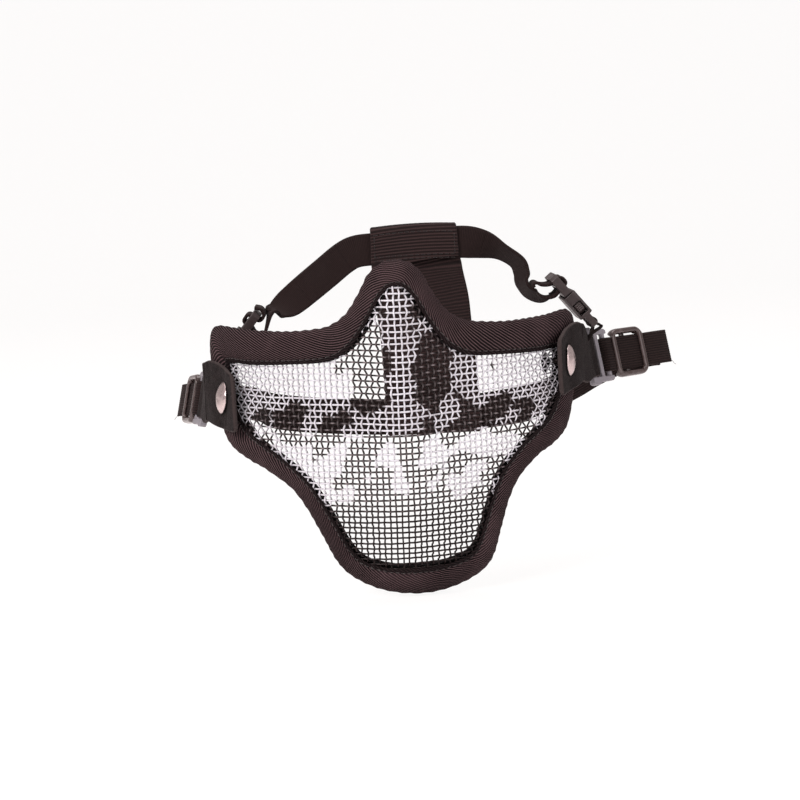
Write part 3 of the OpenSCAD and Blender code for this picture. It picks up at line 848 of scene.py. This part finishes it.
def build_rivet(sign):
    centre = shell_point(RIVET_U, sign * RISE)
    normal = rotation("z", RIVET_TILT) @ shell_normal(RIVET_U, sign * RISE)
    x = unit(np.cross([0, 0, 1], normal))
    y = np.cross(normal, x)
    segments = 72
    turn = (np.arange(segments) * 2 * pi / segments)[:, None, None]
    radius, height = RIVET_PROFILE[1:-1].T
    rings = centre + radius[None, :, None] * (np.cos(turn) * x + np.sin(turn) * y)
    rings = rings + height[None, :, None] * normal
    dent = 0.05 * np.sin(3 * turn + 1) + 0.04 * np.sin(5 * turn)
    rings = rings + normal * (dent * (height > 6)[None, :, None])
    poles = [centre + normal * RIVET_PROFILE[end, 1] for end in (0, -1)]
    verts = np.concatenate([rings.reshape(-1, 3), poles])
    count = len(radius)
    faces = grid_faces(segments, count, closed_rows=True, closed_columns=False)
    pole = segments * count
    for i in range(segments):
        j = (i + 1) % segments
        faces.append([pole, i * count, j * count])
        faces.append([pole + 1, j * count + count - 1, i * count + count - 1])
    # painted shade on everything below the cap, which lies between the tab and the shell and inside
    # the mask
    rear = np.concatenate([np.tile((height < 6.62).astype(float), segments), [0.0, 1.0]])
    ob = add_mesh(f"rivet_cap_{side(sign)}", mirrored(sign, verts), faces, "mask",
                  RIVET, attributes={"rear": rear})
    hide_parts(f"rivet_{side(sign)}")
    repaint(f"rivet_washer_{side(sign)}", WASHER)


# ------------------------------------------------------------------ felt tabs
# On the shell: u, top edge, bottom edge, height over the shell
TAB_ON_SHELL = [
    (72.6, 9.4, -12.8, 8.6), (74, 10.6, -13.4, 8.1), (77.5, 11.8, -13.6, 6.9),
    (81.5, 13.0, -13.4, 5.5), (86, 14.2, -13.0, 4.85), (92, 15.3, -12.4, 4.9),
    (98, 15.2, -11.8, 4.95), (103, 14, -11.6, 5.0)]
# From the shell to the ring: share of the way, top edge, bottom edge
TAB_TO_RING = [(.3, 12.6, -12.2), (.5, 11.2, -11.2), (.68, 10.0, -10.1), (.82, 9.5, -9.5)]
# Folded back inside: distance back from the ring bar, distance inwards
TAB_RETURN = [(3.0, 2.15), (6.0, 1.75), (10.0, 1.5), (13.0, 1.5)]


def tab_exit(sign):
    """Where the tab leaves the shell, its level run to the ring, and level outward from that."""
    ring = ring_pose(sign)[0]
    start = shell_point(104, 0) + 5.1 * shell_normal(104, 0)
    run = unit([ring[0] - start[0], ring[1] - start[1], 0])
    return start, run, array([run[1], -run[0], 0])


def build_tab(sign):
    rise = sign * RISE
    bar, axes = ring_pose(sign)
    up = axes[:, 2]
    stations = []

    def station(centre, across, top, bottom):
        stations.append([*centre, *unit(across), top, bottom])

    for u, top, bottom, lift in open_curve(TAB_ON_SHELL, 8):
        station(shell_point(u, rise) + lift * shell_normal(u, rise), [0, 0, 1], top, bottom)
    start, run, outward = tab_exit(sign)
    start[2] = rise
    for part, top, bottom in TAB_TO_RING:
        centre = start + (bar - start) * part + outward * (1.1 * part)
        station(centre, (1 - part) * array([0, 0, 1]) + part * up, top, bottom)
    # round the ring bar and back on the inner side
    ahead = unit(run - (run @ up) * up)
    out = unit(np.cross(ahead, up))
    for turn in np.radians([80, 50, 20, -10, -40, -70, -95]):
        station(bar + (ahead * cos(turn) + out * sin(turn)) * 2.35, up, 9.4, -9.4)
    for back, inward in TAB_RETURN:
        station(bar - ahead * back - out * inward, up, 9.0, -9.0)
    data = open_curve(stations, 3)
    data, lengths, _ = resample(data[:, :3], detail(0.55, 1.4), data)
    centres, across, top, bottom = data[:, :3], data[:, 3:6], data[:, 6], data[:, 7]
    # rounded front corners
    corner = np.clip(lengths / 1.2, 0, 1)
    cut = (1 - np.sqrt(1 - (1 - corner) ** 2)) * 0.8
    columns = detail(44, 14)
    ring = ribbon_ring(columns)
    verts, faces, uv = ribbon(centres, across, top - cut, bottom + cut, 1.9, columns)
    uneven = smooth_noise(verts, 2.6, 1.0 + sign) * 0.09
    uneven += smooth_noise(verts, 9.0, 5.0 + sign) * 0.12
    # follow the shell's bend in height while the tab lies on it
    u = np.clip(WRAP_RADIUS * np.arcsin(np.clip(verts[:, 0] / 88.5, -1, 1)), 70, 108)
    bend = (shell_point(u, verts[:, 2]) - shell_point(u, rise))[:, 1]
    verts[:, 1] += bend * np.clip(1 - (np.repeat(lengths, ring) - 24) / 12, 0, 1)
    verts += np.repeat(ribbon_axes(centres, across)[1], ring, axis=0) * uneven[:, None]
    edge = np.zeros((len(centres), ring))
    for first in (columns, 2 * columns + 3):
        edge[:, first:first + 3] = 1
    edge[[0, -1]] = 1
    name = side(sign)
    ob = add_mesh(f"felt_tab_{name}", mirrored(sign, verts), faces, f"tab_{name}",
                  FELT, uv=uv, attributes={"edge": edge.ravel()})
    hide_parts(f"side_tab_{name}")


# ------------------------------------------------------------------ ring brackets and buckles
# CAD piece, material, voxel size in mm, smoothing passes
SOFTENED = [("ring", RING, 0.22, 6), ("buckle_female", BUCKLE, 0.22, 6),
            ("buckle_male", BUCKLE, 0.22, 6), ("buckle_prong_front", BUCKLE, 0.18, 5),
            ("buckle_prong_rear", BUCKLE, 0.18, 5)]


def soften_hardware(sign):
    """The CAD shapes with their edges softened."""
    for node, material, voxel, passes in SOFTENED:
        ob = repaint(f"{node}_{side(sign)}", material)
        weld = ob.modifiers.new("weld", "WELD")
        weld.merge_threshold = 2e-6
        remesh = ob.modifiers.new("round", "REMESH")
        remesh.mode = "VOXEL"
        remesh.voxel_size = voxel / 1000
        remesh.use_smooth_shade = True
        smooth = ob.modifiers.new("soft", "SMOOTH")
        smooth.factor = 0.5
        smooth.iterations = passes


def build_grips(sign):
    """Finger ribs on the outer face of each sprung arm."""
    for out, arm in ((-1, "front"), (1, "rear")):
        tubes = Tubes()
        for x in (8.3, 9.2, 10.1, 11.0):
            y = out * (9.6 - (x - 8.5) * 0.09 - 0.02)
            path = place(buckle_pose(sign), [[x, y, z] for z in np.linspace(-1.5, 1.5, 7)])
            radius = 0.34 * array([.55, .9, 1, 1, 1, .9, .55])
            tubes.add(path, np.tile([0, float(out), 0], (7, 1)), radius, 8)
        add_mesh(f"grip_ribs_{arm}_{side(sign)}", mirrored(sign, tubes.verts()), tubes.faces,
                 f"prong_{arm}_{side(sign)}", BUCKLE)


def build_slider(sign):
    """Rounded frame in the web pose's x-z plane, with a middle bar on its other face."""
    half_x, half_z, corner = 8.5, 10.25, 3.0
    x, z = half_x - corner, half_z - corner
    outline = []
    for cx, cz, start in ((x, z, 0), (-x, z, 90), (-x, -z, 180), (x, -z, 270)):
        for turn in np.radians(np.linspace(start, start + 90, 8)):
            outline.append([cx + corner * cos(turn), 0, cz + corner * sin(turn)])
    path, _, _ = resample(array(outline), 0.5, closed=True)
    run = unit(np.roll(path, -1, 0) - np.roll(path, 1, 0))
    aside = np.cross(run, [0, -1, 0])
    # squared oval section; the two rails are deeper than the end bars
    sides = 20
    turn = np.arange(sides) * 2 * pi / sides
    c, s = (np.sign(v) * np.abs(v) ** 0.78 for v in (np.cos(turn), np.sin(turn)))
    rail = np.clip((np.abs(path[:, 2]) - 7.6) / 1.6, 0, 1) * 1.75
    verts = path[:, None] + aside[:, None] * (1.36 * s)[None, :, None]
    verts[..., 1] += (-1.86 + rail)[:, None] - (0.72 + rail)[:, None] * c
    verts = verts.reshape(-1, 3)
    faces = grid_faces(len(path), sides, closed_rows=True)
    base, rows = len(verts), 24
    bar = np.stack([np.zeros(rows), np.full(rows, 1.92), np.linspace(-9.6, 9.6, rows)], 1)
    ring = np.stack([1.5 * s, 0.66 * c, np.zeros(sides)], 1)
    faces += grid_faces(rows, sides, base=base)
    last = base + (rows - 1) * sides
    faces.append(list(range(base, base + sides))[::-1])
    faces.append(list(range(last, last + sides)))
    verts = np.concatenate([verts, (bar[:, None] + ring).reshape(-1, 3)]) + array([14.0, 0, 0])
    name = side(sign)
    ob = add_mesh(f"strap_slider_{name}", mirrored(sign, place(web_pose(sign), verts)), faces,
                  f"slider_{name}", SLIDER)
    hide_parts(f"slider_{name}")


# ------------------------------------------------------------------ straps
# Strap stations are rows of centre x, y, z and width direction x, y, z.
STRAP_STEP = detail(0.6, 1.5)


def strap_path(stations, step):
    """Evenly spaced centres, width directions and lengths."""
    data = open_curve(stations, 8)
    data, lengths, _ = resample(data[:, :3], step, data)
    return data[:, :3], unit(data[:, 3:6]), lengths


def length_at(centres, point):
    """Length along a strap at its centre nearest a point."""
    nearest = np.argmin(np.linalg.norm(centres - array(point), axis=1))
    return float(arc_lengths(centres)[nearest])


def cut_strap(name, centres, across, width, thickness, ends, bodies, slot, material, columns,
              **relief):
    """One continuous strap cut at lengths ends; the pieces share their end rows.

    Each piece given one body rides it; a piece given a pair of bodies is left unattached, with its
    transform baked in.
    """
    lengths = arc_lengths(centres)
    verts, _, uv = ribbon(centres, across, width / 2, -width / 2, thickness, columns, **relief)
    ring = ribbon_ring(columns)
    pieces = []
    for letter, low, high, body in zip("abcdefgh", [0, *ends], ends, bodies):
        first = int(np.searchsorted(lengths, low))
        last = min(int(np.searchsorted(lengths, high)), len(centres) - 1)
        rows = last - first + 1
        part = slice(first * ring, (last + 1) * ring)
        faces = grid_faces(rows, ring)
        single = isinstance(body, str)
        ob = add_mesh(f"{name}_{letter}", verts[part], faces + end_caps(rows, columns),
                      body if single else None, material, uv=uv[part],
                      flat_from=len(faces))
        if not single:
            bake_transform(ob)
        pieces.append(ob)
    return pieces


# Upper elastic, from the back panel to the buckle
UPPER_LEAD = {
    1: [[28, BACK_Y - 1, 56.8, 0, 0, 1], [36, BACK_Y - 1, 56.9, 0, 0, 1],
        [44.6, BACK_Y - 1.2, 55.3, .1, -.45, .87], [52.6, 16.5, 51.8, .1, -.82, .52],
        [60.0, 15.5, 46.6, .35, -.88, .2], [62.0, 14.6, 41.4, .36, -.92, 0],
        [62.0, 13.5, 36.8, .25, -.95, .1], [64.4, 12.3, 32.6, .12, -.93, .3],
        [69.0, 11, 30.4, 0, -.92, .38]],
    -1: [[0, BACK_Y - 1, 55.2, 0, 0, 1], [-7, BACK_Y - 1, 55.4, 0, 0, 1],
         [-15, BACK_Y - 1.2, 54.6, -.12, 0, 1], [-21, 17.4, 51.6, -.42, .02, .9],
         [-29, 16.6, 45.6, -.55, .08, .82], [-38, 15.6, 38.9, -.56, .2, .8],
         [-46, 14.4, 33.0, -.5, .42, .72], [-52, 12.6, 29.6, -.3, .8, .4],
         [-55.2, 11.0, 28.6, -.1, 1, .1]]}
# Round the buckle's bars, (x, z) in the buckle pose: way in, round the bars, folded end
UPPER_ENTRY = {1: [(21.6, 6.6), (20.7, 3.9)], -1: [(21.4, 8.6), (19.6, 6.8), (20.0, 4.0)]}
UPPER_BARS = [(21.1, 1.2), (21.3, -1.6), (21.9, -3.0), (23.4, -3.3), (25.0, -3.0), (25.6, -1.6),
              (25.6, 1.2)]
UPPER_END = {
    1: [(26.3, 3.3), (27.6, 5.0), (29.0, 6.2), (30.4, 6.7), (31.3, 7.7), (31.0, 8.8), (30.0, 9.1)],
    -1: [(26.2, 2.7), (27.7, 3.2), (29.2, 2.8), (30.3, 1.5), (30.6, -.1), (30.0, -1.6),
         (29.4, -2.6)]}
# Points near which the elastic passes from one body to the next
UPPER_CUTS = {
    1: [(44.6, BACK_Y - 1.2, 55.3), (61.6, 15.0, 43.4), (69.0, 11.0, 30.4)],
    -1: [(-20, 17.4, 52.0), (-40, 15.4, 37.4), (-54.5, 11.4, 28.7)]}
UPPER_WIDTH = 14.6


def build_upper_elastic(sign):
    def in_buckle(x, z):
        return mirrored(sign, place(buckle_pose(sign), [[x, 0, z]]))[0]

    loop = UPPER_ENTRY[sign] + UPPER_BARS + UPPER_END[sign]
    stations = UPPER_LEAD[sign] + [[*in_buckle(x, z), 0, -sign, 0] for x, z in loop]
    centres, across, lengths = strap_path(stations, STRAP_STEP)
    points = UPPER_CUTS[sign] + [in_buckle(*UPPER_ENTRY[sign][-1])]
    ends = [length_at(centres, point) for point in points]
    name = side(sign)
    tab = f"tab_{name}"
    relief = {"columns": detail(20, 8), "edge": 0.12}
    pieces = cut_strap(f"upper_elastic_{name}", centres, across, UPPER_WIDTH, 1.35, ends,
                       ["harness", ("harness", "mask"), ("mask", tab), tab], "elastic", ELASTIC,
                       **relief)
    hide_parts(f"upper_strap_{name}")
    first = int(np.searchsorted(lengths, ends[-1]))
    verts, faces, uv = ribbon(centres[first:], across[first:], UPPER_WIDTH / 2, -UPPER_WIDTH / 2,
                              1.3, start=float(lengths[first]), **relief)
    ob = add_mesh(f"elastic_end_{name}", verts, faces, tab, ELASTIC, uv=uv)
    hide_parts(f"strap_end_{name}")


# Back panel: one long piece folded forward over the straps at its top and bottom, (z, y)
PANEL_FOLD = [
    (48.6, 15.35), (52, 15.3), (58, 15.35), (62.4, 15.5), (64.3, 16.1), (64.95, 17.2),
    (64.3, 18.4), (62.4, 18.95), (56, 19.0), (48, 19.0), (30, 19.0), (10, 19.0), (-10, 19.0),
    (-23, 19.0), (-28.8, 18.95), (-31.0, 18.4), (-31.6, 17.2), (-31.0, 16.0), (-28.8, 15.5),
    (-23, 15.35), (-18.5, 15.3), (-14.2, 15.35)]


def panel_span(z):
    """The panel's middle x and its width at height z."""
    down = (63.5 - z) / 97.5
    low = -7.15 + 4.0 * down - 1.5 * np.exp(-((z - 40) / 17) ** 2)
    high = 33.55 + 6.6 * down - 1.2 * ease(44, 50, z)
    high = high + 1.9 * ease(46, 26, z) * ease(-34, -20, z)
    return (low + high) / 2, high - low


def panel_arch(x, z):
    """Lift that arches the panel's top."""
    return (1.1 - 1.1 * ((x - 15.5) / 22) ** 2) * np.clip((z - 30) / 30, 0, 1) - 0.2


def build_panel():
    path, _, _ = resample(open_curve(PANEL_FOLD, 10), detail(0.27, 1.0))
    z, y = path.T
    middle, width = panel_span(z)
    neck = 0.5 * np.sin(np.clip((62 - z) / 95, 0, 1) * pi)
    reach = width / 2 - neck
    verts, faces, uv = ribbon(
        np.stack([middle, y, z], 1), np.tile([1.0, 0, 0], (len(z), 1)), reach, -reach,
        thickness=1.35, columns=detail(46, 12), cord=0.26, cord_pitch=1.42, rib=0.05,
        rib_pitch=1.4, edge=0.12)
    verts[:, 2] += panel_arch(verts[:, 0], verts[:, 2])
    x, z = verts[:, 0], verts[:, 2]
    wave = 0.35 * np.sin(z / 9.0 + x / 14)
    wave = wave * np.clip((50 - z) / 12, 0, 1) * np.clip((z + 16) / 12, 0, 1)
    verts[:, 1] -= np.abs(wave)
    ob = add_mesh("back_panel_elastic", verts, faces, "harness", PANEL, uv=uv)
    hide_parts("back_panel")


def build_panel_stitches():
    """Rows across the panel's sewn ends and up both edges of its top, on both faces."""
    rows = []
    for z in (50.0, 51.6, 61.9, -15.6, -28.4):
        middle, width = panel_span(z)
        rows.append((middle - width / 2 + 1.2, z, middle + width / 2 - 1.2, z))
    middle, width = panel_span(56)
    for edge in (-1, 1):
        x = middle + edge * (width / 2 - 1.6)
        rows.append((x, 51.6, x, 61.9))
    arch = array([-.15, .05, .1, .05, -.15])
    radius = array([.1, .19, .2, .19, .1])
    tubes = Tubes()
    for x0, z0, x1, z1 in rows:
        count = max(2, int(math.hypot(x1 - x0, z1 - z0) / 2.7))
        for y, face in ((14.52, -1), (19.78, 1)):
            for i in range(count):
                part = np.linspace(i / count, (i + .72) / count, 5)
                x = x0 + (x1 - x0) * part
                z = z0 + (z1 - z0) * part
                path = np.stack([x, y + face * arch, z + panel_arch(x, z)], 1)
                tubes.add(path, np.tile([0, face, 0.0], (5, 1)), radius, 5)
    add_mesh("panel_stitches", tubes.verts(), tubes.faces, "harness",
             PANEL_THREAD, fix=False)


# Webbing doubled round the ring's outer bar, (x, y) in the web pose: rear layer, then the bar,
# then the front layer through the slider to the tail
WEB_REAR = [(20, .52), (14, .5), (8, .52), (5.6, .66), (3.4, 1.35)]
WEB_FRONT = [(3.4, -1.35), (5.6, -.62), (8, -.52), (14, -.56), (20, -.52), (24, -.6), (27.5, -.9),
             (31.5, -1.25), (35.5, -1.35), (39.4, -1.05)]
WEB_THICKNESS = 0.95
# Lower strap, from the slider to the foot of the back panel
LOWER_Y = BACK_Y - 1.05
LOWER_RUN = {
    1: [[126.6, 33.6, .4, -.12, .22, .97], [129.4, 38.2, -.2, -.08, .18, .98],
        [127.6, 43.2, -1.0, -.05, .14, .99], [121, 44.6, -2.2, -.03, .1, 1],
        [110, 41.6, -4.6, -.10, .08, 1], [98, 36.0, -8.6, -.24, .04, .97],
        [88, 30.6, -12.8, -.30, .02, .95], [76, 25.2, -17.2, -.25, 0, .97],
        [62, 20.6, -20.6, -.15, 0, 1], [44, LOWER_Y, -22.6, -.07, 0, 1],
        [30, LOWER_Y, -23.2, -.02, 0, 1], [18, LOWER_Y, -23.5, 0, 0, 1]],
    -1: [[-99.6, 45.5, -14.6, .2, .15, .96], [-99.8, 51.5, -15.3, .16, .1, .97],
         [-96.5, 56.5, -16.2, .1, .06, .98], [-89, 59.4, -17.0, .06, .04, 1],
         [-79, 58.4, -17.6, .04, .02, 1], [-69.5, 52, -18.2, .05, 0, 1],
         [-63.5, 41, -18.6, .06, 0, 1], [-60, 30.5, -18.8, .07, 0, 1],
         [-53, 22.8, -19.6, .08, 0, 1], [-36, 18.6, -21.3, .08, 0, 1],
         [-8, LOWER_Y, -23.3, 0, 0, 1], [18, LOWER_Y, -23.5, 0, 0, 1]]}
LOWER_CUTS = {
    1: [(121, 44.6, -2.2), (98, 36.0, -8.6), (80, 26.8, -16.0), (58, 19.8, -21.2)],
    -1: [(-99.6, 45.5, -14.6), (-72, 54.0, -18.0), (-61.2, 34, -18.7), (-44, 20.2, -20.5)]}
LOOSE_THREAD = [[39.3, -1.1, -7.0], [40.2, -1.4, -7.9], [40.1, -2.0, -8.9], [41.0, -2.2, -9.6]]


def bar_arc(radius, degrees):
    return [(radius * cos(turn), radius * sin(turn)) for turn in np.radians(degrees)]


def build_webbing(sign):
    """Doubled webbing, lower strap and a loose thread; returns the strap's pieces."""
    pose = web_pose(sign)
    name = side(sign)
    ring, tab = f"ring_{name}", f"tab_{name}"
    up = mirrored(sign, pose[1][:, 2])
    relief = {"columns": detail(60, 10), "rib": 0.16, "rib_pitch": 1.05}

    def stations(points):
        placed = mirrored(sign, place(pose, [[x, y, 0] for x, y in points]))
        return [[*point, *up] for point in placed]

    arc = bar_arc(2.05, [90, 115, 145, 180, 215, 245, 270])
    centres, across, _ = strap_path(stations(WEB_REAR + arc + WEB_FRONT), STRAP_STEP * .8)
    verts, faces, uv = ribbon(centres, across, 7.8, -7.8, WEB_THICKNESS, **relief)
    ob = add_mesh(f"webbing_doubled_{name}", verts, faces, ring, WEBBING, uv=uv)
    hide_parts(f"webbing_loop_{name}")

    start = stations([(20, .52), (24, .55), (27, .8)])
    centres, across, lengths = strap_path(start + LOWER_RUN[sign], STRAP_STEP)
    ends = [length_at(centres, point) for point in LOWER_CUTS[sign]] + [lengths[-1]]
    width = 15.4 + 1.3 * ease(72, 52, np.abs(centres[:, 0]))
    bodies = [ring, (ring, tab), (tab, "mask"), ("mask", "harness"), "harness"]
    pieces = cut_strap(f"lower_webbing_{name}", centres, across, width, WEB_THICKNESS, ends,
                       bodies, "webbing", WEBBING, **relief)

    # loose thread at the cut end
    path = open_curve(place(pose, LOOSE_THREAD), 6)
    tubes = Tubes()
    tubes.add(path, np.tile([0, 0.3, 1.0], (len(path), 1)), 0.1, 5)
    add_mesh(f"loose_thread_{name}", mirrored(sign, tubes.verts()), tubes.faces, ring,
             THREAD)
    return pieces


def build_link(sign):
    """Short webbing loop from the tab round the near bar of its buckle."""
    start, run, outward = tab_exit(sign)
    foot = start + (ring_pose(sign)[0] - start) * .6 - outward * 1.75
    foot[2] = sign * RISE - 3
    along_y = array([0, 1, 0])

    def in_buckle(x, z):
        return place(buckle_pose(sign), [[x, -4.4, z]])[0]

    above = foot + [0, .5, 6]
    back = in_buckle(-4.4, -1.6)
    stations = [
        [*(foot - [0, 0, 3.5]), *run],
        [*foot, *run],
        [*(foot + [0, .5, 5]), *(run * .8 + along_y * .2)],
        [*(above * .45 + in_buckle(-4, .8) * .55), *(run * .4 + along_y * .6)]]
    arc = bar_arc(1.95, [150, 110, 60, 0, -60, -110, -150])
    stations += [[*in_buckle(x, z), *along_y] for x, z in arc]
    stations += [
        [*back, *(run * .3 + along_y * .7)],
        [*(above * .55 + back * .45 - outward), *(run * .6 + along_y * .4)],
        [*(foot + [0, .3, 3] - outward * 1.3), *run]]
    centres, across, _ = strap_path(stations, STRAP_STEP * .8)
    verts, faces, uv = ribbon(centres, across, 3.6, -3.6, 0.9, columns=detail(24, 8), rib=0.12,
                              rib_pitch=1.05)
    ob = add_mesh(f"link_webbing_{side(sign)}", mirrored(sign, verts), faces, f"tab_{side(sign)}",
                  WEBBING, uv=uv)
    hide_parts(f"buckle_link_{side(sign)}")


# ------------------------------------------------------------------ stage, light, camera (m)
def build_floor():
    """Pale floor that curves up into a wall behind the mask; it glows towards the camera."""
    floor_z = min(CAD_BOX[0].z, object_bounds()[0].z) - 0.0005
    half_width, bend_y, bend_radius = 6.0, 1.6, 1.2
    profile = [(-4.0, 0.0), (bend_y, 0.0)]
    profile += [(bend_y + bend_radius * sin(turn), bend_radius * (1 - cos(turn)))
                for turn in np.radians(np.linspace(6, 90, 15))]
    profile.append((bend_y + bend_radius, 5.0))
    verts = [(x, y, floor_z + z) for y, z in profile for x in (-half_width, half_width)]
    faces = [(2 * i, 2 * i + 1, 2 * i + 3, 2 * i + 2) for i in range(len(profile) - 1)]
    mesh = bpy.data.meshes.new("floor")
    mesh.from_pydata(verts, [], faces)
    mesh.polygons.foreach_set("use_smooth", [True] * len(faces))
    floor = bpy.data.objects.new("floor", mesh)
    bpy.context.scene.collection.objects.link(floor)
    t = Tree("pale_floor")
    t.finish(color=(0.93, 0.925, 0.92), rough=0.8, spec=0.1)
    glow = t.node("ShaderNodeEmission")
    t.put(glow, "Color", (1.0, 0.995, 0.99, 1))
    t.put(glow, "Strength", 1.1)
    mixer = t.node("ShaderNodeMixShader")
    seen = t.node("ShaderNodeLightPath").outputs["Is Camera Ray"]
    t.put(mixer, 0, t.times(seen, 0.8))
    t.put(mixer, 1, t.shader.outputs[0])
    t.put(mixer, 2, glow.outputs[0])
    t.put(t.output, 0, mixer.outputs[0])
    mesh.materials.append(t.material)


def build_world():
    """White to the camera, dimmer and warmer as light."""
    world = bpy.data.worlds.new("studio")
    bpy.context.scene.world = world
    world.use_nodes = True
    nodes, links = world.node_tree.nodes, world.node_tree.links
    background = nodes["Background"]
    seen = nodes.new("ShaderNodeLightPath").outputs["Is Camera Ray"]
    tint = nodes.new("ShaderNodeMix")
    tint.data_type = "RGBA"
    tint.inputs[6].default_value = (1.0, 0.90, 0.895, 1)
    tint.inputs[7].default_value = (1.0, 0.998, 0.996, 1)
    links.new(seen, tint.inputs[0])
    links.new(tint.outputs[2], background.inputs[0])
    strength = nodes.new("ShaderNodeMapRange")
    strength.inputs[3].default_value = 0.42
    strength.inputs[4].default_value = 1.0
    links.new(seen, strength.inputs[0])
    links.new(strength.outputs[0], background.inputs[1])


def area_light(name, place, target, size, power, color):
    light = bpy.data.lights.new(name, "AREA")
    light.shape = "RECTANGLE"
    light.size, light.size_y = size
    light.energy = power
    light.color = color
    ob = bpy.data.objects.new(name, light)
    ob.location = place
    ob.rotation_mode = "QUATERNION"
    ob.rotation_quaternion = (Vector(target) - Vector(place)).to_track_quat("-Z", "Y")
    bpy.context.scene.collection.objects.link(ob)


def build_camera():
    """Off the middle towards -X, above the nose, its top leaning towards +X."""
    turn, roll = radians(2.0), radians(2.6)
    level = cos(VIEW_RISE)
    ahead = Vector((sin(turn) * level, cos(turn) * level, -sin(VIEW_RISE)))
    right = Vector((cos(turn), -sin(turn), 0))
    up = right.cross(ahead)
    rolled_up = up * cos(roll) + right * sin(roll)
    rolled_right = right * cos(roll) - up * sin(roll)
    data = bpy.data.cameras.new("camera")
    data.sensor_width = 36
    data.lens = 71.34
    data.clip_start = 0.01
    data.clip_end = 50
    camera = bpy.data.objects.new("camera", data)
    matrix = Matrix((rolled_right, rolled_up, -ahead)).transposed().to_4x4()
    target = Vector([v / 1000 for v in VIEW_TARGET])
    matrix.translation = target - ahead * (VIEW_DISTANCE / 1000)
    camera.matrix_world = matrix
    bpy.context.scene.collection.objects.link(camera)
    bpy.context.scene.camera = camera


# ------------------------------------------------------------------ build
build_wires("upright", range(-36, 36))
build_wires("cross", range(-32, 18))
build_tape()
build_tape_stitches()
build_rim_pad()
for build_piece in (build_rivet, build_tab, soften_hardware, build_grips, build_slider,
                    build_upper_elastic):
    for sign in SIDES:
        build_piece(sign)
build_panel()
build_panel_stitches()
lower_straps = [build_webbing(sign) for sign in SIDES]
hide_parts("lower_strap")
for sign in SIDES:
    build_link(sign)

build_floor()
build_world()
area_light("key", place=(-0.75, -0.95, 0.85), target=(0, 0, -0.01), size=(0.6, 0.6), power=15,
           color=(1, 0.90, 0.89))
area_light("fill", place=(0.95, -0.8, 0.35), target=(0, 0, -0.01), size=(0.8, 0.8), power=3.5,
           color=(1, 0.90, 0.90))
area_light("top", place=(0.0, 0.35, 1.1), target=(0, 0, 0), size=(0.9, 0.7), power=5,
           color=(1, 0.93, 0.925))
build_camera()
bpy.context.scene.view_settings.view_transform = "Standard"
